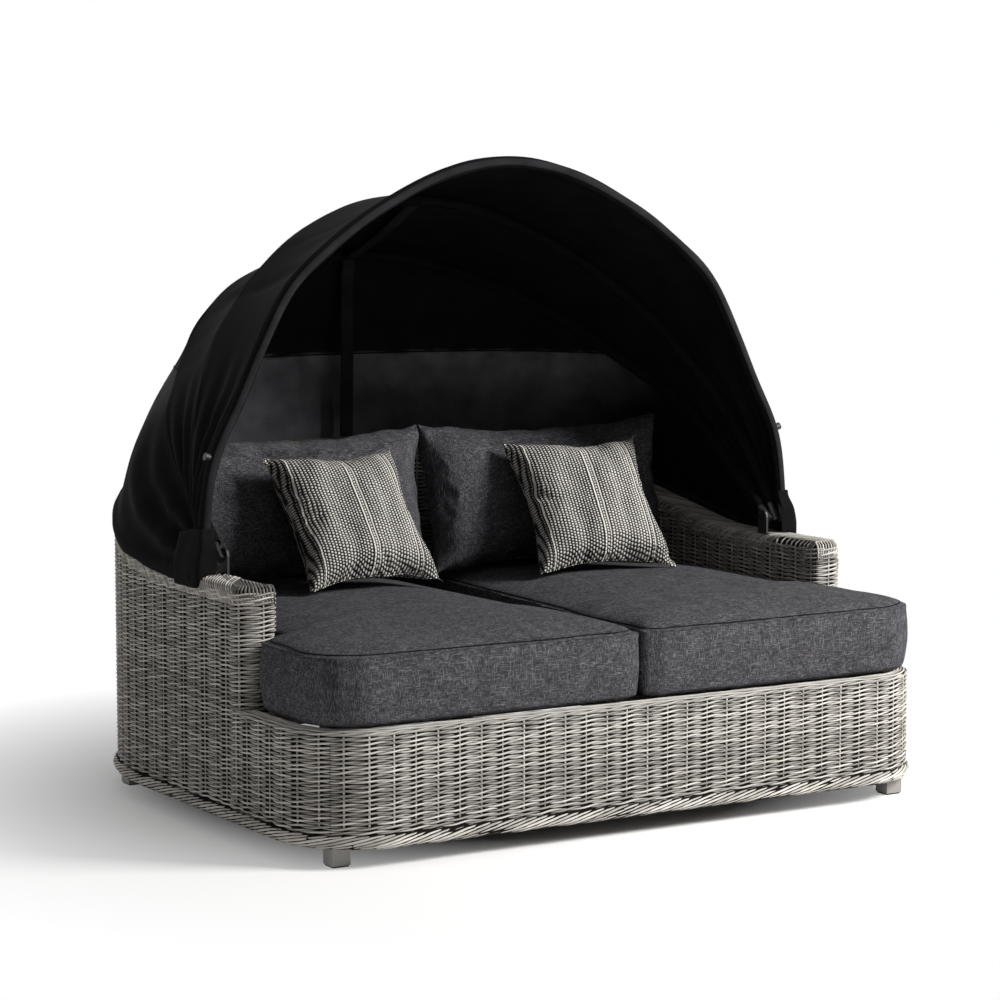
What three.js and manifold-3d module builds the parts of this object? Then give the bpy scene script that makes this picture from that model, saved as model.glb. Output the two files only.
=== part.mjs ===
// Outdoor daybed with a folding canopy: a woven shell on a welded aluminium frame, loose
// cushions, and three cloth-covered hoops that turn on one line across the two arms.
// Millimetres, +Z up, +Y towards the back. The origin is on the floor, under the middle.

import * as THREE from 'three';
import { mergeVertices } from 'three/addons/utils/BufferGeometryUtils.js';
import Module from 'manifold-3d';

const wasm = await Module();
wasm.setup();

// Shell sizes
const shellHalfWidth = 915;
const shellHalfDepth = 800;
const frontCornerRadius = 200;
const rearCornerRadius = 600;
const wallThickness = 92;
const skin = 10;
const armHeight = 630;
const backHeight = 865;
const riseStart = 0;
const riseLength = 1100;
const topEdgeRadius = 16;
const armSetBack = 403;
const armEndRadius = 45;
const ledgeHeight = 327;
const ledgeWidth = 40;
const ledgeRadius = 14;

// Upright ribs, where the strands pass over a stake
const ribHeight = 4.5;
const ribPitch = 120;
const ribTopRoom = 60;
const ribLedgeRoom = 24;

// Braided border round the foot of the weave
const borderBottom = 49;
const borderHeight = 32;
const borderWidth = 25;
const borderProud = 15;

// Touching pieces keep this clearance, and cuts run past a face by the overrun
const clearance = 0.3;
const overrun = 5;

// Welded frame
const footRailWidth = 40;
const footRailHeight = 30;
const seatRailWidth = 60;
const seatRailHeight = 30;
const uprightWidth = 25;
const bearerWidth = 30;
const bearerSpacing = 450;
const topTubeRadius = 12.5;
const topTubeGap = 0.9;
const topUprightRadius = 11;
const topUprightPitch = 420;
const topTubeSetBack = 67;

// Seat slats
const slatCount = 7;
const slatWidth = 60;
const slatThickness = 10;
const slatFrontInset = 140;
const slatRearInset = 200;

// Feet
const footWidth = 48;
const footSideInset = 87;
const footFrontInset = 82;
const footRearInset = 364;
const footWall = 4;
const glideThickness = 4;
const glideInset = 3;

// Canopy pivot
const pivotPlace = -140;
const pivotRise = 50;
const boltRadius = 4;
const boltHeadRadius = 8;
const boltHeadLength = 5;
const nutRadius = 8;
const nutLength = 7;
const lugThickness = 6;
const lugWidth = 40;
const bracketLength = 60;
const bracketWidth = 74;
const bracketThickness = 5;
const washerRadius = 9;

// Canopy hoops
const tubeRadius = 11;
const hoopGap = 2;
const hoopInset = 20;
const frontHoopHeight = 981;
const middleHoopHeight = 1018;
const rearHoopHeight = 1140;
const middleHoopLeanDegrees = 30.5;
const rearHoopLeanDegrees = 51;
const hoopFootLength = 14;
const knobHeight = 230;
const spigotRadius = 8.7;
const spigotLength = 30;
const knobRadius = 10;
const knobLength = 15;
const knobStemRadius = 3;

// Canopy cloth
const clothThickness = 3;
const clothGap = 2.4;
const creaseStep = 6;
const clothStart = 60;
const clothSag = 14;
const backBulge = 22;
const seamGap = 0.6;
const hemDrop = 18;
const hemStandOff = 6;
const bindingStartDegrees = 68;
const bindingEndDegrees = 125;
const notchMargin = 4;
const strapWidth = 40;
const strapThickness = 2;
const strapSag = 6;
const strapGap = 0.7;

// Seat cushions
const seatFrontInset = 3;
const seatRearInset = 240;
const seatCushionSeam = 508;
const seatCushionCrown = 40;
const seatCushionGap = 3;
const seatEarInset = 13;
const seatEarRoom = 15;
const seatFrontRadius = 150;
const seatInnerRadius = 22;
const seatSideClearance = 5;
const seatDrawIn = 12;
const seatBulge = 6;
const seatRearRadius = 430;

// Back cushions
const backCushionSideRoom = 135;
const backCushionHeight = 405;
const backCushionThickness = 190;
const backCushionEdge = 60;
const backCushionRoom = 530;
const backCushionLeanDegrees = 12;
const backCushionDraw = 16;

// Throw pillows
const pillowSize = 430;
const pillowThickness = 150;
const pillowEdge = 8;
const pillowDraw = 24;
const pillowLeanDegrees = 36;
const pillowAhead = 570;
const restGap = 0.6;
const leftPillowPlace = -340;
const rightPillowPlace = 380;
const pillowTurnDegrees = 5;

// Hoop outlines: share of the half width at the pivot, share of the height
const frontHoopShares = [
  [1, 0], [0.965, 0.234], [0.878, 0.4], [0.81, 0.53], [0.718, 0.676],
  [0.6, 0.775], [0.428, 0.879], [0.2, 0.972], [0, 1],
];
const middleHoopShares = [
  [1, 0], [0.985, 0.18], [0.95, 0.3], [0.92, 0.38], [0.86, 0.49], [0.8, 0.585],
  [0.69, 0.7], [0.585, 0.786], [0.45, 0.878], [0.225, 0.97], [0, 1],
];
const rearHoopShares = [
  [1, 0], [0.988, 0.17], [0.98, 0.3], [0.962, 0.38], [0.925, 0.455], [0.868, 0.53], [0.793, 0.62],
  [0.713, 0.712], [0.62, 0.79], [0.509, 0.868], [0.377, 0.93], [0.22, 0.978], [0, 1],
];

// Step counts
const hoopSteps = 42;
const tubeSides = 8;
const clothSteps = 32;
const clothRows = 5;
const cornerSteps = 7;
const rearCornerSteps = 12;
const cushionSteps = 6;

// Places worked out from the sizes above
const armFront = armSetBack - shellHalfDepth;
const topTubeFront = armFront + topTubeSetBack;
const slatFirst = slatFrontInset - shellHalfDepth;
const slatLast = shellHalfDepth - slatRearInset;
const footAcross = shellHalfWidth - footSideInset;
const frontFootPlace = footFrontInset - shellHalfDepth;
const rearFootPlace = shellHalfDepth - footRearInset;
const seatCushionFront = seatFrontInset - shellHalfDepth;
const seatCushionBack = shellHalfDepth - seatRearInset;
const seatEarHalfWidth = shellHalfWidth - seatEarInset;
const seatEarBack = armFront - seatEarRoom;
const backCushionWidth = shellHalfWidth - backCushionSideRoom;
const backCushionPlace = shellHalfDepth - backCushionRoom;
const pillowPlace = backCushionPlace - pillowAhead;
const frontHoopHalfWidth = shellHalfWidth - hoopInset;
const pivotHeight = armHeight + pivotRise;
const pivotPitch = 2 * tubeRadius + hoopGap;
const middleHoopHalfWidth = frontHoopHalfWidth - pivotPitch;
const rearHoopHalfWidth = middleHoopHalfWidth - pivotPitch;
const footRailBottom = borderBottom;
const skinBottom = borderBottom + borderHeight + clearance;
const seatRailTop = ledgeHeight - slatThickness - clearance;
const seatRailBottom = seatRailTop - seatRailHeight;
const frameInset = skin + clearance;
const cushionBottom = ledgeHeight + clearance;
const apronEnd = armFront + armEndRadius;
const hoops = {
  front: {
    halfWidth: frontHoopHalfWidth, height: frontHoopHeight, lean: 0, shares: frontHoopShares,
  },
  middle: {
    halfWidth: middleHoopHalfWidth, height: middleHoopHeight, lean: middleHoopLeanDegrees,
    shares: middleHoopShares,
  },
  rear: {
    halfWidth: rearHoopHalfWidth, height: rearHoopHeight, lean: rearHoopLeanDegrees,
    shares: rearHoopShares,
  },
};

// Materials
const finishes = {
  weave: { color: 0x8f8a82, roughness: 0.75, metalness: 0 },
  border: { color: 0x7d7870, roughness: 0.75, metalness: 0 },
  aluminium: { color: 0x9a9c9e, roughness: 0.45, metalness: 0.9 },
  foot: { color: 0x8b8c8e, roughness: 0.4, metalness: 0.9 },
  darkMetal: { color: 0x1c1c1e, roughness: 0.5, metalness: 0.6 },
  steel: { color: 0xb0b2b4, roughness: 0.35, metalness: 1 },
  plastic: { color: 0x151516, roughness: 0.5, metalness: 0 },
  canopy: { color: 0x0e0e10, roughness: 0.95, metalness: 0 },
  binding: { color: 0x2a2a2d, roughness: 0.9, metalness: 0 },
  cushion: { color: 0x3f3e43, roughness: 0.95, metalness: 0 },
  pillow: { color: 0x6a6865, roughness: 0.95, metalness: 0 },
};

const daybed = new THREE.Group();

function piece(name, geometry, finish, parent = daybed) {
  const mesh = new THREE.Mesh(geometry, new THREE.MeshStandardMaterial(finishes[finish]));
  mesh.name = name;
  parent.add(mesh);
  return mesh;
}

// Closed solids from rings of points

function signedVolume(points, faces) {
  let sum = 0;
  for (const [a, b, c] of faces) {
    sum += points[a].dot(new THREE.Vector3().crossVectors(points[b], points[c]));
  }
  return sum;
}

function solidFrom(points, faces) {
  const outward = signedVolume(points, faces) > 0;
  const index = faces.flatMap(([a, b, c]) => (outward ? [a, b, c] : [a, c, b]));
  const geometry = new THREE.BufferGeometry();
  geometry.setAttribute('position', new THREE.Float32BufferAttribute(points.flatMap((p) => p.toArray()), 3));
  geometry.setIndex(index);
  geometry.computeVertexNormals();
  return geometry;
}

function capFaces(ring) {
  const normal = new THREE.Vector3();
  ring.forEach((p, i) => normal.add(new THREE.Vector3().crossVectors(p, ring[(i + 1) % ring.length])));
  normal.normalize();
  const across = new THREE.Vector3().subVectors(ring[1], ring[0]).normalize();
  const along = new THREE.Vector3().crossVectors(normal, across);
  const flat = ring.map((p) => new THREE.Vector2(p.dot(across), p.dot(along)));
  return THREE.ShapeUtils.triangulateShape(flat, []);
}

// Rings of equal counts, joined side by side, then closed on themselves or capped
function loft(rings, closed = false) {
  const count = rings[0].length;
  const points = rings.flat();
  const faces = [];
  const spans = closed ? rings.length : rings.length - 1;
  for (let i = 0; i < spans; i += 1) {
    const here = i * count;
    const next = ((i + 1) % rings.length) * count;
    for (let j = 0; j < count; j += 1) {
      const k = (j + 1) % count;
      faces.push([here + j, here + k, next + k], [here + j, next + k, next + j]);
    }
  }
  if (!closed) {
    const last = (rings.length - 1) * count;
    capFaces(rings[0]).forEach(([a, b, c]) => faces.push([a, c, b]));
    capFaces(rings[rings.length - 1]).forEach(([a, b, c]) => faces.push([last + a, last + b, last + c]));
  }
  return solidFrom(points, faces);
}

// Rings that close to a point at both ends, for cushions
function ballFrom(bottom, rings, top) {
  const count = rings[0].length;
  const points = [bottom, ...rings.flat(), top];
  const end = points.length - 1;
  const faces = [];
  for (let j = 0; j < count; j += 1) {
    const k = (j + 1) % count;
    faces.push([0, 1 + k, 1 + j]);
    for (let i = 0; i < rings.length - 1; i += 1) {
      const here = 1 + i * count;
      const next = here + count;
      faces.push([here + j, here + k, next + k], [here + j, next + k, next + j]);
    }
    faces.push([end - count + j, end - count + k, end]);
  }
  return solidFrom(points, faces);
}

// A sheet from rows of places on its middle surface, with a thickness at every place
function sheet(rows, thickness) {
  const front = [];
  const back = [];
  rows.forEach((row, j) => row.forEach((place, i) => {
    const before = row[Math.max(i - 1, 0)];
    const after = row[Math.min(i + 1, row.length - 1)];
    const below = rows[Math.max(j - 1, 0)][i];
    const above = rows[Math.min(j + 1, rows.length - 1)][i];
    const normal = after.clone().sub(before).cross(above.clone().sub(below)).normalize();
    const half = thickness(i / (row.length - 1), j / (rows.length - 1)) / 2;
    front.push(place.clone().addScaledVector(normal, half));
    back.push(place.clone().addScaledVector(normal, -half));
  }));
  const across = rows[0].length;
  const last = rows.length - 1;
  const other = front.length;
  const faces = [];
  for (let j = 0; j < last; j += 1) {
    for (let i = 0; i < across - 1; i += 1) {
      const a = j * across + i;
      const b = a + 1;
      const c = a + across;
      const d = c + 1;
      faces.push([a, b, d], [a, d, c], [other + a, other + d, other + b], [other + a, other + c, other + d]);
    }
  }
  const rim = [];
  for (let i = 0; i < across - 1; i += 1) rim.push(i);
  for (let j = 0; j < last; j += 1) rim.push(j * across + across - 1);
  for (let i = across - 1; i > 0; i -= 1) rim.push(last * across + i);
  for (let j = last; j > 0; j -= 1) rim.push(j * across);
  rim.forEach((a, i) => {
    const b = rim[(i + 1) % rim.length];
    faces.push([a, other + b, b], [a, other + a, other + b]);
  });
  return solidFrom([...front, ...back], faces);
}

function shares(steps) {
  return Array.from({ length: steps + 1 }, (_, i) => i / steps);
}

// Joins and cuts

function toManifold(geometry) {
  const bare = geometry.clone();
  bare.deleteAttribute('normal');
  if (bare.attributes.uv) bare.deleteAttribute('uv');
  const merged = mergeVertices(bare);
  const vertProperties = new Float32Array(merged.attributes.position.array);
  const triVerts = new Uint32Array(merged.index.array);
  return new wasm.Manifold(new wasm.Mesh({ numProp: 3, vertProperties, triVerts }));
}

function toGeometry(manifold) {
  const mesh = manifold.getMesh();
  const geometry = new THREE.BufferGeometry();
  geometry.setAttribute('position', new THREE.Float32BufferAttribute(mesh.vertProperties, 3));
  geometry.setIndex(new THREE.Uint32BufferAttribute(mesh.triVerts, 1));
  geometry.computeVertexNormals();
  return geometry;
}

function join(geometries) {
  return toGeometry(geometries.map(toManifold).reduce((whole, next) => whole.add(next)));
}

function cut(geometry, tools) {
  return toGeometry(tools.map(toManifold).reduce((whole, next) => whole.subtract(next), toManifold(geometry)));
}

function box(sizeX, sizeY, sizeZ, x, y, z) {
  return new THREE.BoxGeometry(sizeX, sizeY, sizeZ).translate(x, y, z);
}

function rod(from, to, radius, sides = tubeSides) {
  const along = new THREE.Vector3().subVectors(to, from);
  const turn = new THREE.Quaternion().setFromUnitVectors(new THREE.Vector3(0, 1, 0), along.clone().normalize());
  const geometry = new THREE.CylinderGeometry(radius, radius, along.length(), sides);
  return geometry.applyQuaternion(turn).translate(...from.clone().add(to).divideScalar(2).toArray());
}

// Outline of the shell in plan. A station is a place on it and the inward direction.

function lineStations(x0, y0, x1, y1, steps) {
  const inward = new THREE.Vector2(y0 - y1, x1 - x0).normalize();
  return Array.from({ length: steps + 1 }, (_, i) => {
    const share = i / steps;
    return { x: x0 + (x1 - x0) * share, y: y0 + (y1 - y0) * share, inward };
  });
}

function arcStations(x, y, radius, from, to, steps) {
  return Array.from({ length: steps + 1 }, (_, i) => {
    const angle = THREE.MathUtils.degToRad(from + ((to - from) * i) / steps);
    const out = new THREE.Vector2(Math.cos(angle), Math.sin(angle));
    return { x: x + radius * out.x, y: y + radius * out.y, inward: out.negate() };
  });
}

const frontCentreX = shellHalfWidth - frontCornerRadius;
const frontCentreY = frontCornerRadius - shellHalfDepth;
const rearCentreX = shellHalfWidth - rearCornerRadius;
const rearCentreY = shellHalfDepth - rearCornerRadius;

// The three stretches run anticlockwise seen from above: front, right arm and so on
function frontStretch(sideSteps, cornerParts, frontSteps) {
  const half = shellHalfWidth;
  return [
    ...lineStations(-half, apronEnd, -half, frontCentreY, sideSteps).slice(0, -1),
    ...arcStations(-frontCentreX, frontCentreY, frontCornerRadius, 180, 270, cornerParts),
    ...lineStations(-frontCentreX, -shellHalfDepth, frontCentreX, -shellHalfDepth, frontSteps).slice(1, -1),
    ...arcStations(frontCentreX, frontCentreY, frontCornerRadius, 270, 360, cornerParts),
    ...lineStations(half, frontCentreY, half, apronEnd, sideSteps).slice(1),
  ];
}

function rearStretch(cornerParts = rearCornerSteps, middleSteps = 4) {
  return [
    ...arcStations(rearCentreX, rearCentreY, rearCornerRadius, 0, 90, cornerParts),
    ...lineStations(rearCentreX, shellHalfDepth, -rearCentreX, shellHalfDepth, middleSteps).slice(1, -1),
    ...arcStations(-rearCentreX, rearCentreY, rearCornerRadius, 90, 180, cornerParts),
  ];
}

// Steps for a length, two to each rib, so that a stretch starts and ends between ribs
function ribSteps(length) {
  return 2 * Math.max(1, Math.round(length / ribPitch));
}

function ribbed(stations) {
  return stations.map((station, i) => ({ ...station, proud: i % 2 === 1 ? ribHeight : 0 }));
}

const frontCornerParts = ribSteps((frontCornerRadius * Math.PI) / 2);
const rearCornerParts = ribSteps((rearCornerRadius * Math.PI) / 2);

function ribbedFront() {
  return ribbed(frontStretch(ribSteps(apronEnd - frontCentreY), frontCornerParts, ribSteps(2 * frontCentreX)));
}

function ribbedRear() {
  return ribbed(rearStretch(rearCornerParts, ribSteps(2 * rearCentreX)));
}

// Distance along the outline from where the top edge starts to rise, the same on both sides
function riseDistance({ x, y }) {
  const side = Math.abs(x);
  if (y <= rearCentreY) return y - riseStart;
  const straight = rearCentreY - riseStart;
  if (side <= rearCentreX) return straight + (rearCornerRadius * Math.PI) / 2 + rearCentreX - side;
  return straight + rearCornerRadius * Math.atan2(y - rearCentreY, side - rearCentreX);
}

function wallTop(station) {
  const share = THREE.MathUtils.clamp(riseDistance(station) / riseLength, 0, 1);
  return armHeight + (backHeight - armHeight) * share * share * (3 - 2 * share);
}

// Rise of the top edge for each millimetre along the outline
function wallSlope(station) {
  const share = THREE.MathUtils.clamp(riseDistance(station) / riseLength, 0, 1);
  return (6 * (backHeight - armHeight) * share * (1 - share)) / riseLength;
}

function stationPoint(station, inset, z) {
  return new THREE.Vector3(station.x + station.inward.x * inset, station.y + station.inward.y * inset, z);
}

function onOutline(stations, section, closed = false) {
  return loft(stations.map((s) => section(s).map(([inset, z]) => stationPoint(s, inset, z))), closed);
}

function roundedCorner(inset, z, radius, from, to, steps = 3) {
  return Array.from({ length: steps + 1 }, (_, i) => {
    const angle = THREE.MathUtils.degToRad(from + ((to - from) * i) / steps);
    return [inset + radius * Math.cos(angle), z + radius * Math.sin(angle)];
  });
}

// Woven wall: an upside-down U that covers the frame, with a rounded top edge
function wallSection(station) {
  const top = wallTop(station);
  const inner = topEdgeRadius - skin;
  const shoulder = top - topEdgeRadius;
  const far = wallThickness - topEdgeRadius;
  return [
    [-station.proud, skinBottom],
    [-station.proud, top - ribTopRoom],
    ...roundedCorner(topEdgeRadius, shoulder, topEdgeRadius, 180, 90),
    ...roundedCorner(far, shoulder, topEdgeRadius, 90, 0),
    [wallThickness, ledgeHeight + clearance],
    [wallThickness - skin, ledgeHeight + clearance],
    ...roundedCorner(far, shoulder, inner, 0, 90, 1),
    ...roundedCorner(topEdgeRadius, shoulder, inner, 90, 180, 1),
    [skin, skinBottom],
  ];
}

function apronSection(station) {
  return [
    [-station.proud, skinBottom],
    [-station.proud, ledgeHeight - ribLedgeRoom],
    ...roundedCorner(ledgeRadius, ledgeHeight - ledgeRadius, ledgeRadius, 180, 90, 2),
    [ledgeWidth, ledgeHeight],
    [ledgeWidth, ledgeHeight - skin],
    [skin, ledgeHeight - skin],
    [skin, skinBottom],
  ];
}

// Closed front of an arm, rounded in plan at its outer corner
function armEnd(side) {
  const top = armHeight;
  const rings = [];
  for (let i = 0; i <= cornerSteps; i += 1) {
    const angle = (Math.PI / 2) * (i / cornerSteps);
    const y = armFront + armEndRadius * (1 - Math.cos(angle));
    const outer = armEndRadius * (1 - Math.sin(angle));
    const station = { x: side * shellHalfWidth, y, inward: new THREE.Vector2(-side, 0) };
    const section = [
      [outer, ledgeHeight + clearance],
      ...roundedCorner(outer + topEdgeRadius, top - topEdgeRadius, topEdgeRadius, 180, 90),
      ...roundedCorner(wallThickness - topEdgeRadius, top - topEdgeRadius, topEdgeRadius, 90, 0),
      [wallThickness, ledgeHeight + clearance],
    ];
    rings.push(section.map(([inset, z]) => stationPoint(station, inset, z)));
  }
  return loft(rings);
}

function addShell() {
  piece('front_apron', onOutline(ribbedFront(), apronSection), 'weave');
  for (const [name, side] of [['left', -1], ['right', 1]]) {
    const x = side * shellHalfWidth;
    const steps = ribSteps(rearCentreY - apronEnd);
    const stations = side > 0
      ? lineStations(x, apronEnd + clearance, x, rearCentreY - clearance, steps)
      : lineStations(x, rearCentreY - clearance, x, apronEnd + clearance, steps);
    const wall = onOutline(ribbed(stations), wallSection);
    const plug = armEnd(side).translate(0, clearance, 0);
    piece(`${name}_arm_shell`, join([wall, plug]), 'weave');
  }
  piece('back_shell', onOutline(ribbedRear(), wallSection), 'weave');
}

// Whole outline, for rings that run all the way round
function wholeOutline(rearParts) {
  const armSteps = 3;
  return [
    ...rearStretch(rearParts),
    ...lineStations(-shellHalfWidth, rearCentreY, -shellHalfWidth, apronEnd, armSteps).slice(1),
    ...frontStretch(1, frontCornerParts, 1).slice(1),
    ...lineStations(shellHalfWidth, apronEnd, shellHalfWidth, rearCentreY, armSteps).slice(1, -1),
  ];
}

function addBorder() {
  const middle = borderWidth / 2 - borderProud;
  const sides = 8;
  const section = () => Array.from({ length: sides }, (_, i) => {
    const angle = ((i + 0.5) / sides) * 2 * Math.PI;
    const reach = 1 / Math.cos(Math.PI / sides);
    return [
      middle + (borderWidth / 2) * reach * Math.cos(angle),
      borderBottom + borderHeight / 2 + (borderHeight / 2) * reach * Math.sin(angle),
    ];
  });
  piece('braided_border', onOutline(wholeOutline(rearCornerParts), section, true), 'border');
}

// Welded frame
function rail(width, bottom, height) {
  const section = () => [
    [frameInset, bottom],
    [frameInset + width, bottom],
    [frameInset + width, bottom + height],
    [frameInset, bottom + height],
  ];
  return onOutline(wholeOutline(rearCornerParts / 2), section, true);
}

function addBaseFrame() {
  const parts = [
    rail(footRailWidth, footRailBottom, footRailHeight),
    rail(seatRailWidth, seatRailBottom, seatRailHeight),
  ];
  const postInset = frameInset + footRailWidth / 2;
  const postBottom = footRailBottom + footRailHeight / 2;
  const postTop = seatRailBottom + seatRailHeight / 2;
  const post = (x, y) => box(uprightWidth, uprightWidth, postTop - postBottom, x, y, (postBottom + postTop) / 2);
  const deepY = shellHalfDepth - postInset;
  for (const x of [-bearerSpacing, 0, bearerSpacing]) {
    parts.push(post(x, -deepY));
    const rearY = rearInside(Math.abs(x)) - postInset;
    parts.push(post(x, rearY));
    const length = rearY + deepY;
    parts.push(box(bearerWidth, length, seatRailHeight - clearance, x, (rearY - deepY) / 2,
      seatRailTop - seatRailHeight / 2));
  }
  for (const side of [-1, 1]) {
    for (const y of [apronEnd, rearCentreY]) parts.push(post(side * (shellHalfWidth - postInset), y));
  }
  piece('base_frame', join(parts), 'aluminium');
}

// Outer y of the shell's rear at a distance x from the middle, and outer x at a given y
function rearInside(x) {
  if (x <= rearCentreX) return shellHalfDepth;
  return rearCentreY + Math.sqrt(rearCornerRadius ** 2 - (x - rearCentreX) ** 2);
}

function halfWidthAt(y) {
  if (y > rearCentreY) return rearCentreX + Math.sqrt(rearCornerRadius ** 2 - (y - rearCentreY) ** 2);
  if (y < frontCentreY) return frontCentreX + Math.sqrt(frontCornerRadius ** 2 - (y - frontCentreY) ** 2);
  return shellHalfWidth;
}

function addUpperFrame() {
  const inset = wallThickness / 2;
  const drop = (station) => skin + topTubeGap + topTubeRadius * Math.hypot(1, wallSlope(station));
  const stations = [
    ...lineStations(shellHalfWidth, topTubeFront, shellHalfWidth, rearCentreY, 6).slice(0, -1),
    ...rearStretch(),
    ...lineStations(-shellHalfWidth, rearCentreY, -shellHalfWidth, topTubeFront, 6).slice(1),
  ];
  const places = stations.map((s) => stationPoint(s, inset, wallTop(s) - drop(s)));
  const path = new THREE.CatmullRomCurve3(places, false, 'centripetal');
  const round = circleShape(topTubeRadius);
  const steps = 48;
  const parts = [new THREE.ExtrudeGeometry(round, { steps, bevelEnabled: false, extrudePath: path })];
  const posts = 2 * Math.round(path.getLength() / topUprightPitch / 2);
  for (let i = 0; i <= posts; i += 1) {
    const margin = topUprightRadius / path.getLength();
    const top = path.getPointAt(THREE.MathUtils.lerp(margin, 1 - margin, i / posts));
    const foot = new THREE.Vector3(top.x, top.y, seatRailTop + clearance);
    parts.push(rod(foot, top, topUprightRadius));
  }
  piece('arm_and_back_frame', join(parts), 'aluminium');
}

function circleShape(radius, sides = tubeSides) {
  const corners = Array.from({ length: sides }, (_, i) => {
    const angle = (2 * Math.PI * (i + 0.5)) / sides;
    return new THREE.Vector2(radius * Math.cos(angle), radius * Math.sin(angle));
  });
  return new THREE.Shape(corners);
}

function addSlats() {
  const margin = ledgeWidth + clearance;
  for (let i = 0; i < slatCount; i += 1) {
    const y = slatFirst + ((slatLast - slatFirst) * i) / (slatCount - 1);
    const reach = Math.min(halfWidthAt(y - slatWidth / 2 - margin), halfWidthAt(y + slatWidth / 2 + margin));
    const z = ledgeHeight - slatThickness / 2;
    piece(`seat_slat_${i + 1}`, box(2 * (reach - margin), slatWidth, slatThickness, 0, y, z), 'aluminium');
  }
}

// Feet: square tube, open below, with a glide pushed into each
function addFeet() {
  const top = footRailBottom - clearance;
  const bottom = glideThickness + clearance;
  const corners = [
    ['front_left', -footAcross, frontFootPlace], ['front_right', footAcross, frontFootPlace],
    ['rear_left', -footAcross, rearFootPlace], ['rear_right', footAcross, rearFootPlace],
  ];
  for (const [name, x, y] of corners) {
    const outside = box(footWidth, footWidth, top - bottom, x, y, (top + bottom) / 2);
    const bore = footWidth - 2 * footWall;
    const depth = top - footWall - bottom;
    const inside = box(bore, bore, depth + overrun, x, y, bottom + (depth - overrun) / 2);
    piece(`foot_${name}`, cut(outside, [inside]), 'foot');
    const pad = box(footWidth - 2 * glideInset, footWidth - 2 * glideInset, glideThickness, x, y, glideThickness / 2);
    const stubWidth = bore - 2 * clearance;
    const stub = box(stubWidth, stubWidth, depth / 2, x, y, glideThickness + depth / 4 - clearance);
    piece(`glide_${name}`, join([pad, stub]), 'plastic');
  }
}

// Canopy pivots. Each bolt carries the front hoop outside, then the middle and the rear one.
function addPivots() {
  const plateTop = armHeight + clearance + bracketThickness;
  const rearFace = rearHoopHalfWidth - tubeRadius;
  const lugOuter = rearFace - hoopGap / 2;
  const lugInner = lugOuter - lugThickness;
  const headFace = frontHoopHalfWidth + tubeRadius + hoopGap;
  for (const [name, side] of [['left', -1], ['right', 1]]) {
    const along = (from, to, radius, sides) => rod(
      new THREE.Vector3(side * from, pivotPlace, pivotHeight),
      new THREE.Vector3(side * to, pivotPlace, pivotHeight), radius, sides,
    );
    const plate = box(bracketWidth, bracketLength, bracketThickness,
      side * (lugInner + bracketWidth / 2), pivotPlace, plateTop - bracketThickness / 2);
    const lugBase = plateTop - bracketThickness / 2;
    const lug = box(lugThickness, lugWidth, pivotHeight - lugBase,
      side * (lugInner + lugThickness / 2), pivotPlace, (pivotHeight + lugBase) / 2);
    const roundTop = along(lugInner, lugOuter, lugWidth / 2, 16);
    const hole = along(lugInner - overrun, lugOuter + overrun, boltRadius + clearance, 12);
    piece(`${name}_pivot_bracket`, cut(join([plate, lug, roundTop]), [hole]), 'darkMetal');
    const shankEnd = lugInner - clearance - nutLength - clearance;
    const shank = along(shankEnd, headFace + boltHeadLength / 2, boltRadius, 12);
    const head = along(headFace, headFace + boltHeadLength, boltHeadRadius, 6);
    piece(`${name}_pivot_bolt`, join([shank, head]), 'steel');
    const nut = along(lugInner - clearance - nutLength, lugInner - clearance, nutRadius, 6);
    const thread = along(shankEnd - overrun, lugInner + overrun, boltRadius + clearance, 12);
    piece(`${name}_pivot_nut`, cut(nut, [thread]), 'steel');
    const washerThickness = hoopGap - 2 * clearance;
    [frontHoopHalfWidth, middleHoopHalfWidth].forEach((line, i) => {
      const outer = line - tubeRadius - clearance;
      const disc = along(outer - washerThickness, outer, washerRadius, 12);
      const bore = along(outer - washerThickness - overrun, outer + overrun, boltRadius + clearance, 12);
      piece(`${name}_washer_${i + 1}`, cut(disc, [bore]), 'plastic');
    });
  }
}

// Centre line of a hoop in its own plane: x across, z up from the pivot line
function hoopCurve({ halfWidth, height, shares }) {
  const right = shares.map(([x, z]) => new THREE.Vector3(x * halfWidth, 0, z * height));
  const left = right.slice(0, -1).map((p) => new THREE.Vector3(-p.x, 0, p.z));
  const lean = new THREE.Vector3().subVectors(right[0], right[1]).setLength(hoopFootLength);
  const rightFoot = right[0].clone().add(lean);
  const leftFoot = new THREE.Vector3(-rightFoot.x, 0, rightFoot.z);
  const places = [leftFoot, ...left, ...right.reverse(), rightFoot];
  const curve = new THREE.CatmullRomCurve3(places, false, 'centripetal');
  curve.arcLengthDivisions = 600;
  return curve;
}

// One stretch of a longer curve
class Stretch extends THREE.Curve {
  constructor(whole, from, to) {
    super();
    this.whole = whole;
    this.from = from;
    this.to = to;
  }

  getPoint(t, target = new THREE.Vector3()) {
    return target.copy(this.whole.getPointAt(THREE.MathUtils.lerp(this.from, this.to, t)));
  }
}

// Share of a hoop's length, from its left foot, at which it is a given height above the pivot
function shareAtHeight(curve, height) {
  let low = 0;
  let high = 0.4;
  for (let i = 0; i < 40; i += 1) {
    const middle = (low + high) / 2;
    if (curve.getPointAt(middle).z < height) low = middle;
    else high = middle;
  }
  return low;
}

function hoopTube(curve, steps, radius = tubeRadius) {
  return new THREE.ExtrudeGeometry(circleShape(radius), { steps, bevelEnabled: false, extrudePath: curve });
}

function pivotHoles(halfWidth) {
  const reach = tubeRadius + overrun;
  return [-1, 1].map((side) => rod(
    new THREE.Vector3(side * (halfWidth - reach), 0, 0),
    new THREE.Vector3(side * (halfWidth + reach), 0, 0), boltRadius + clearance, 12,
  ));
}

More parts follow.
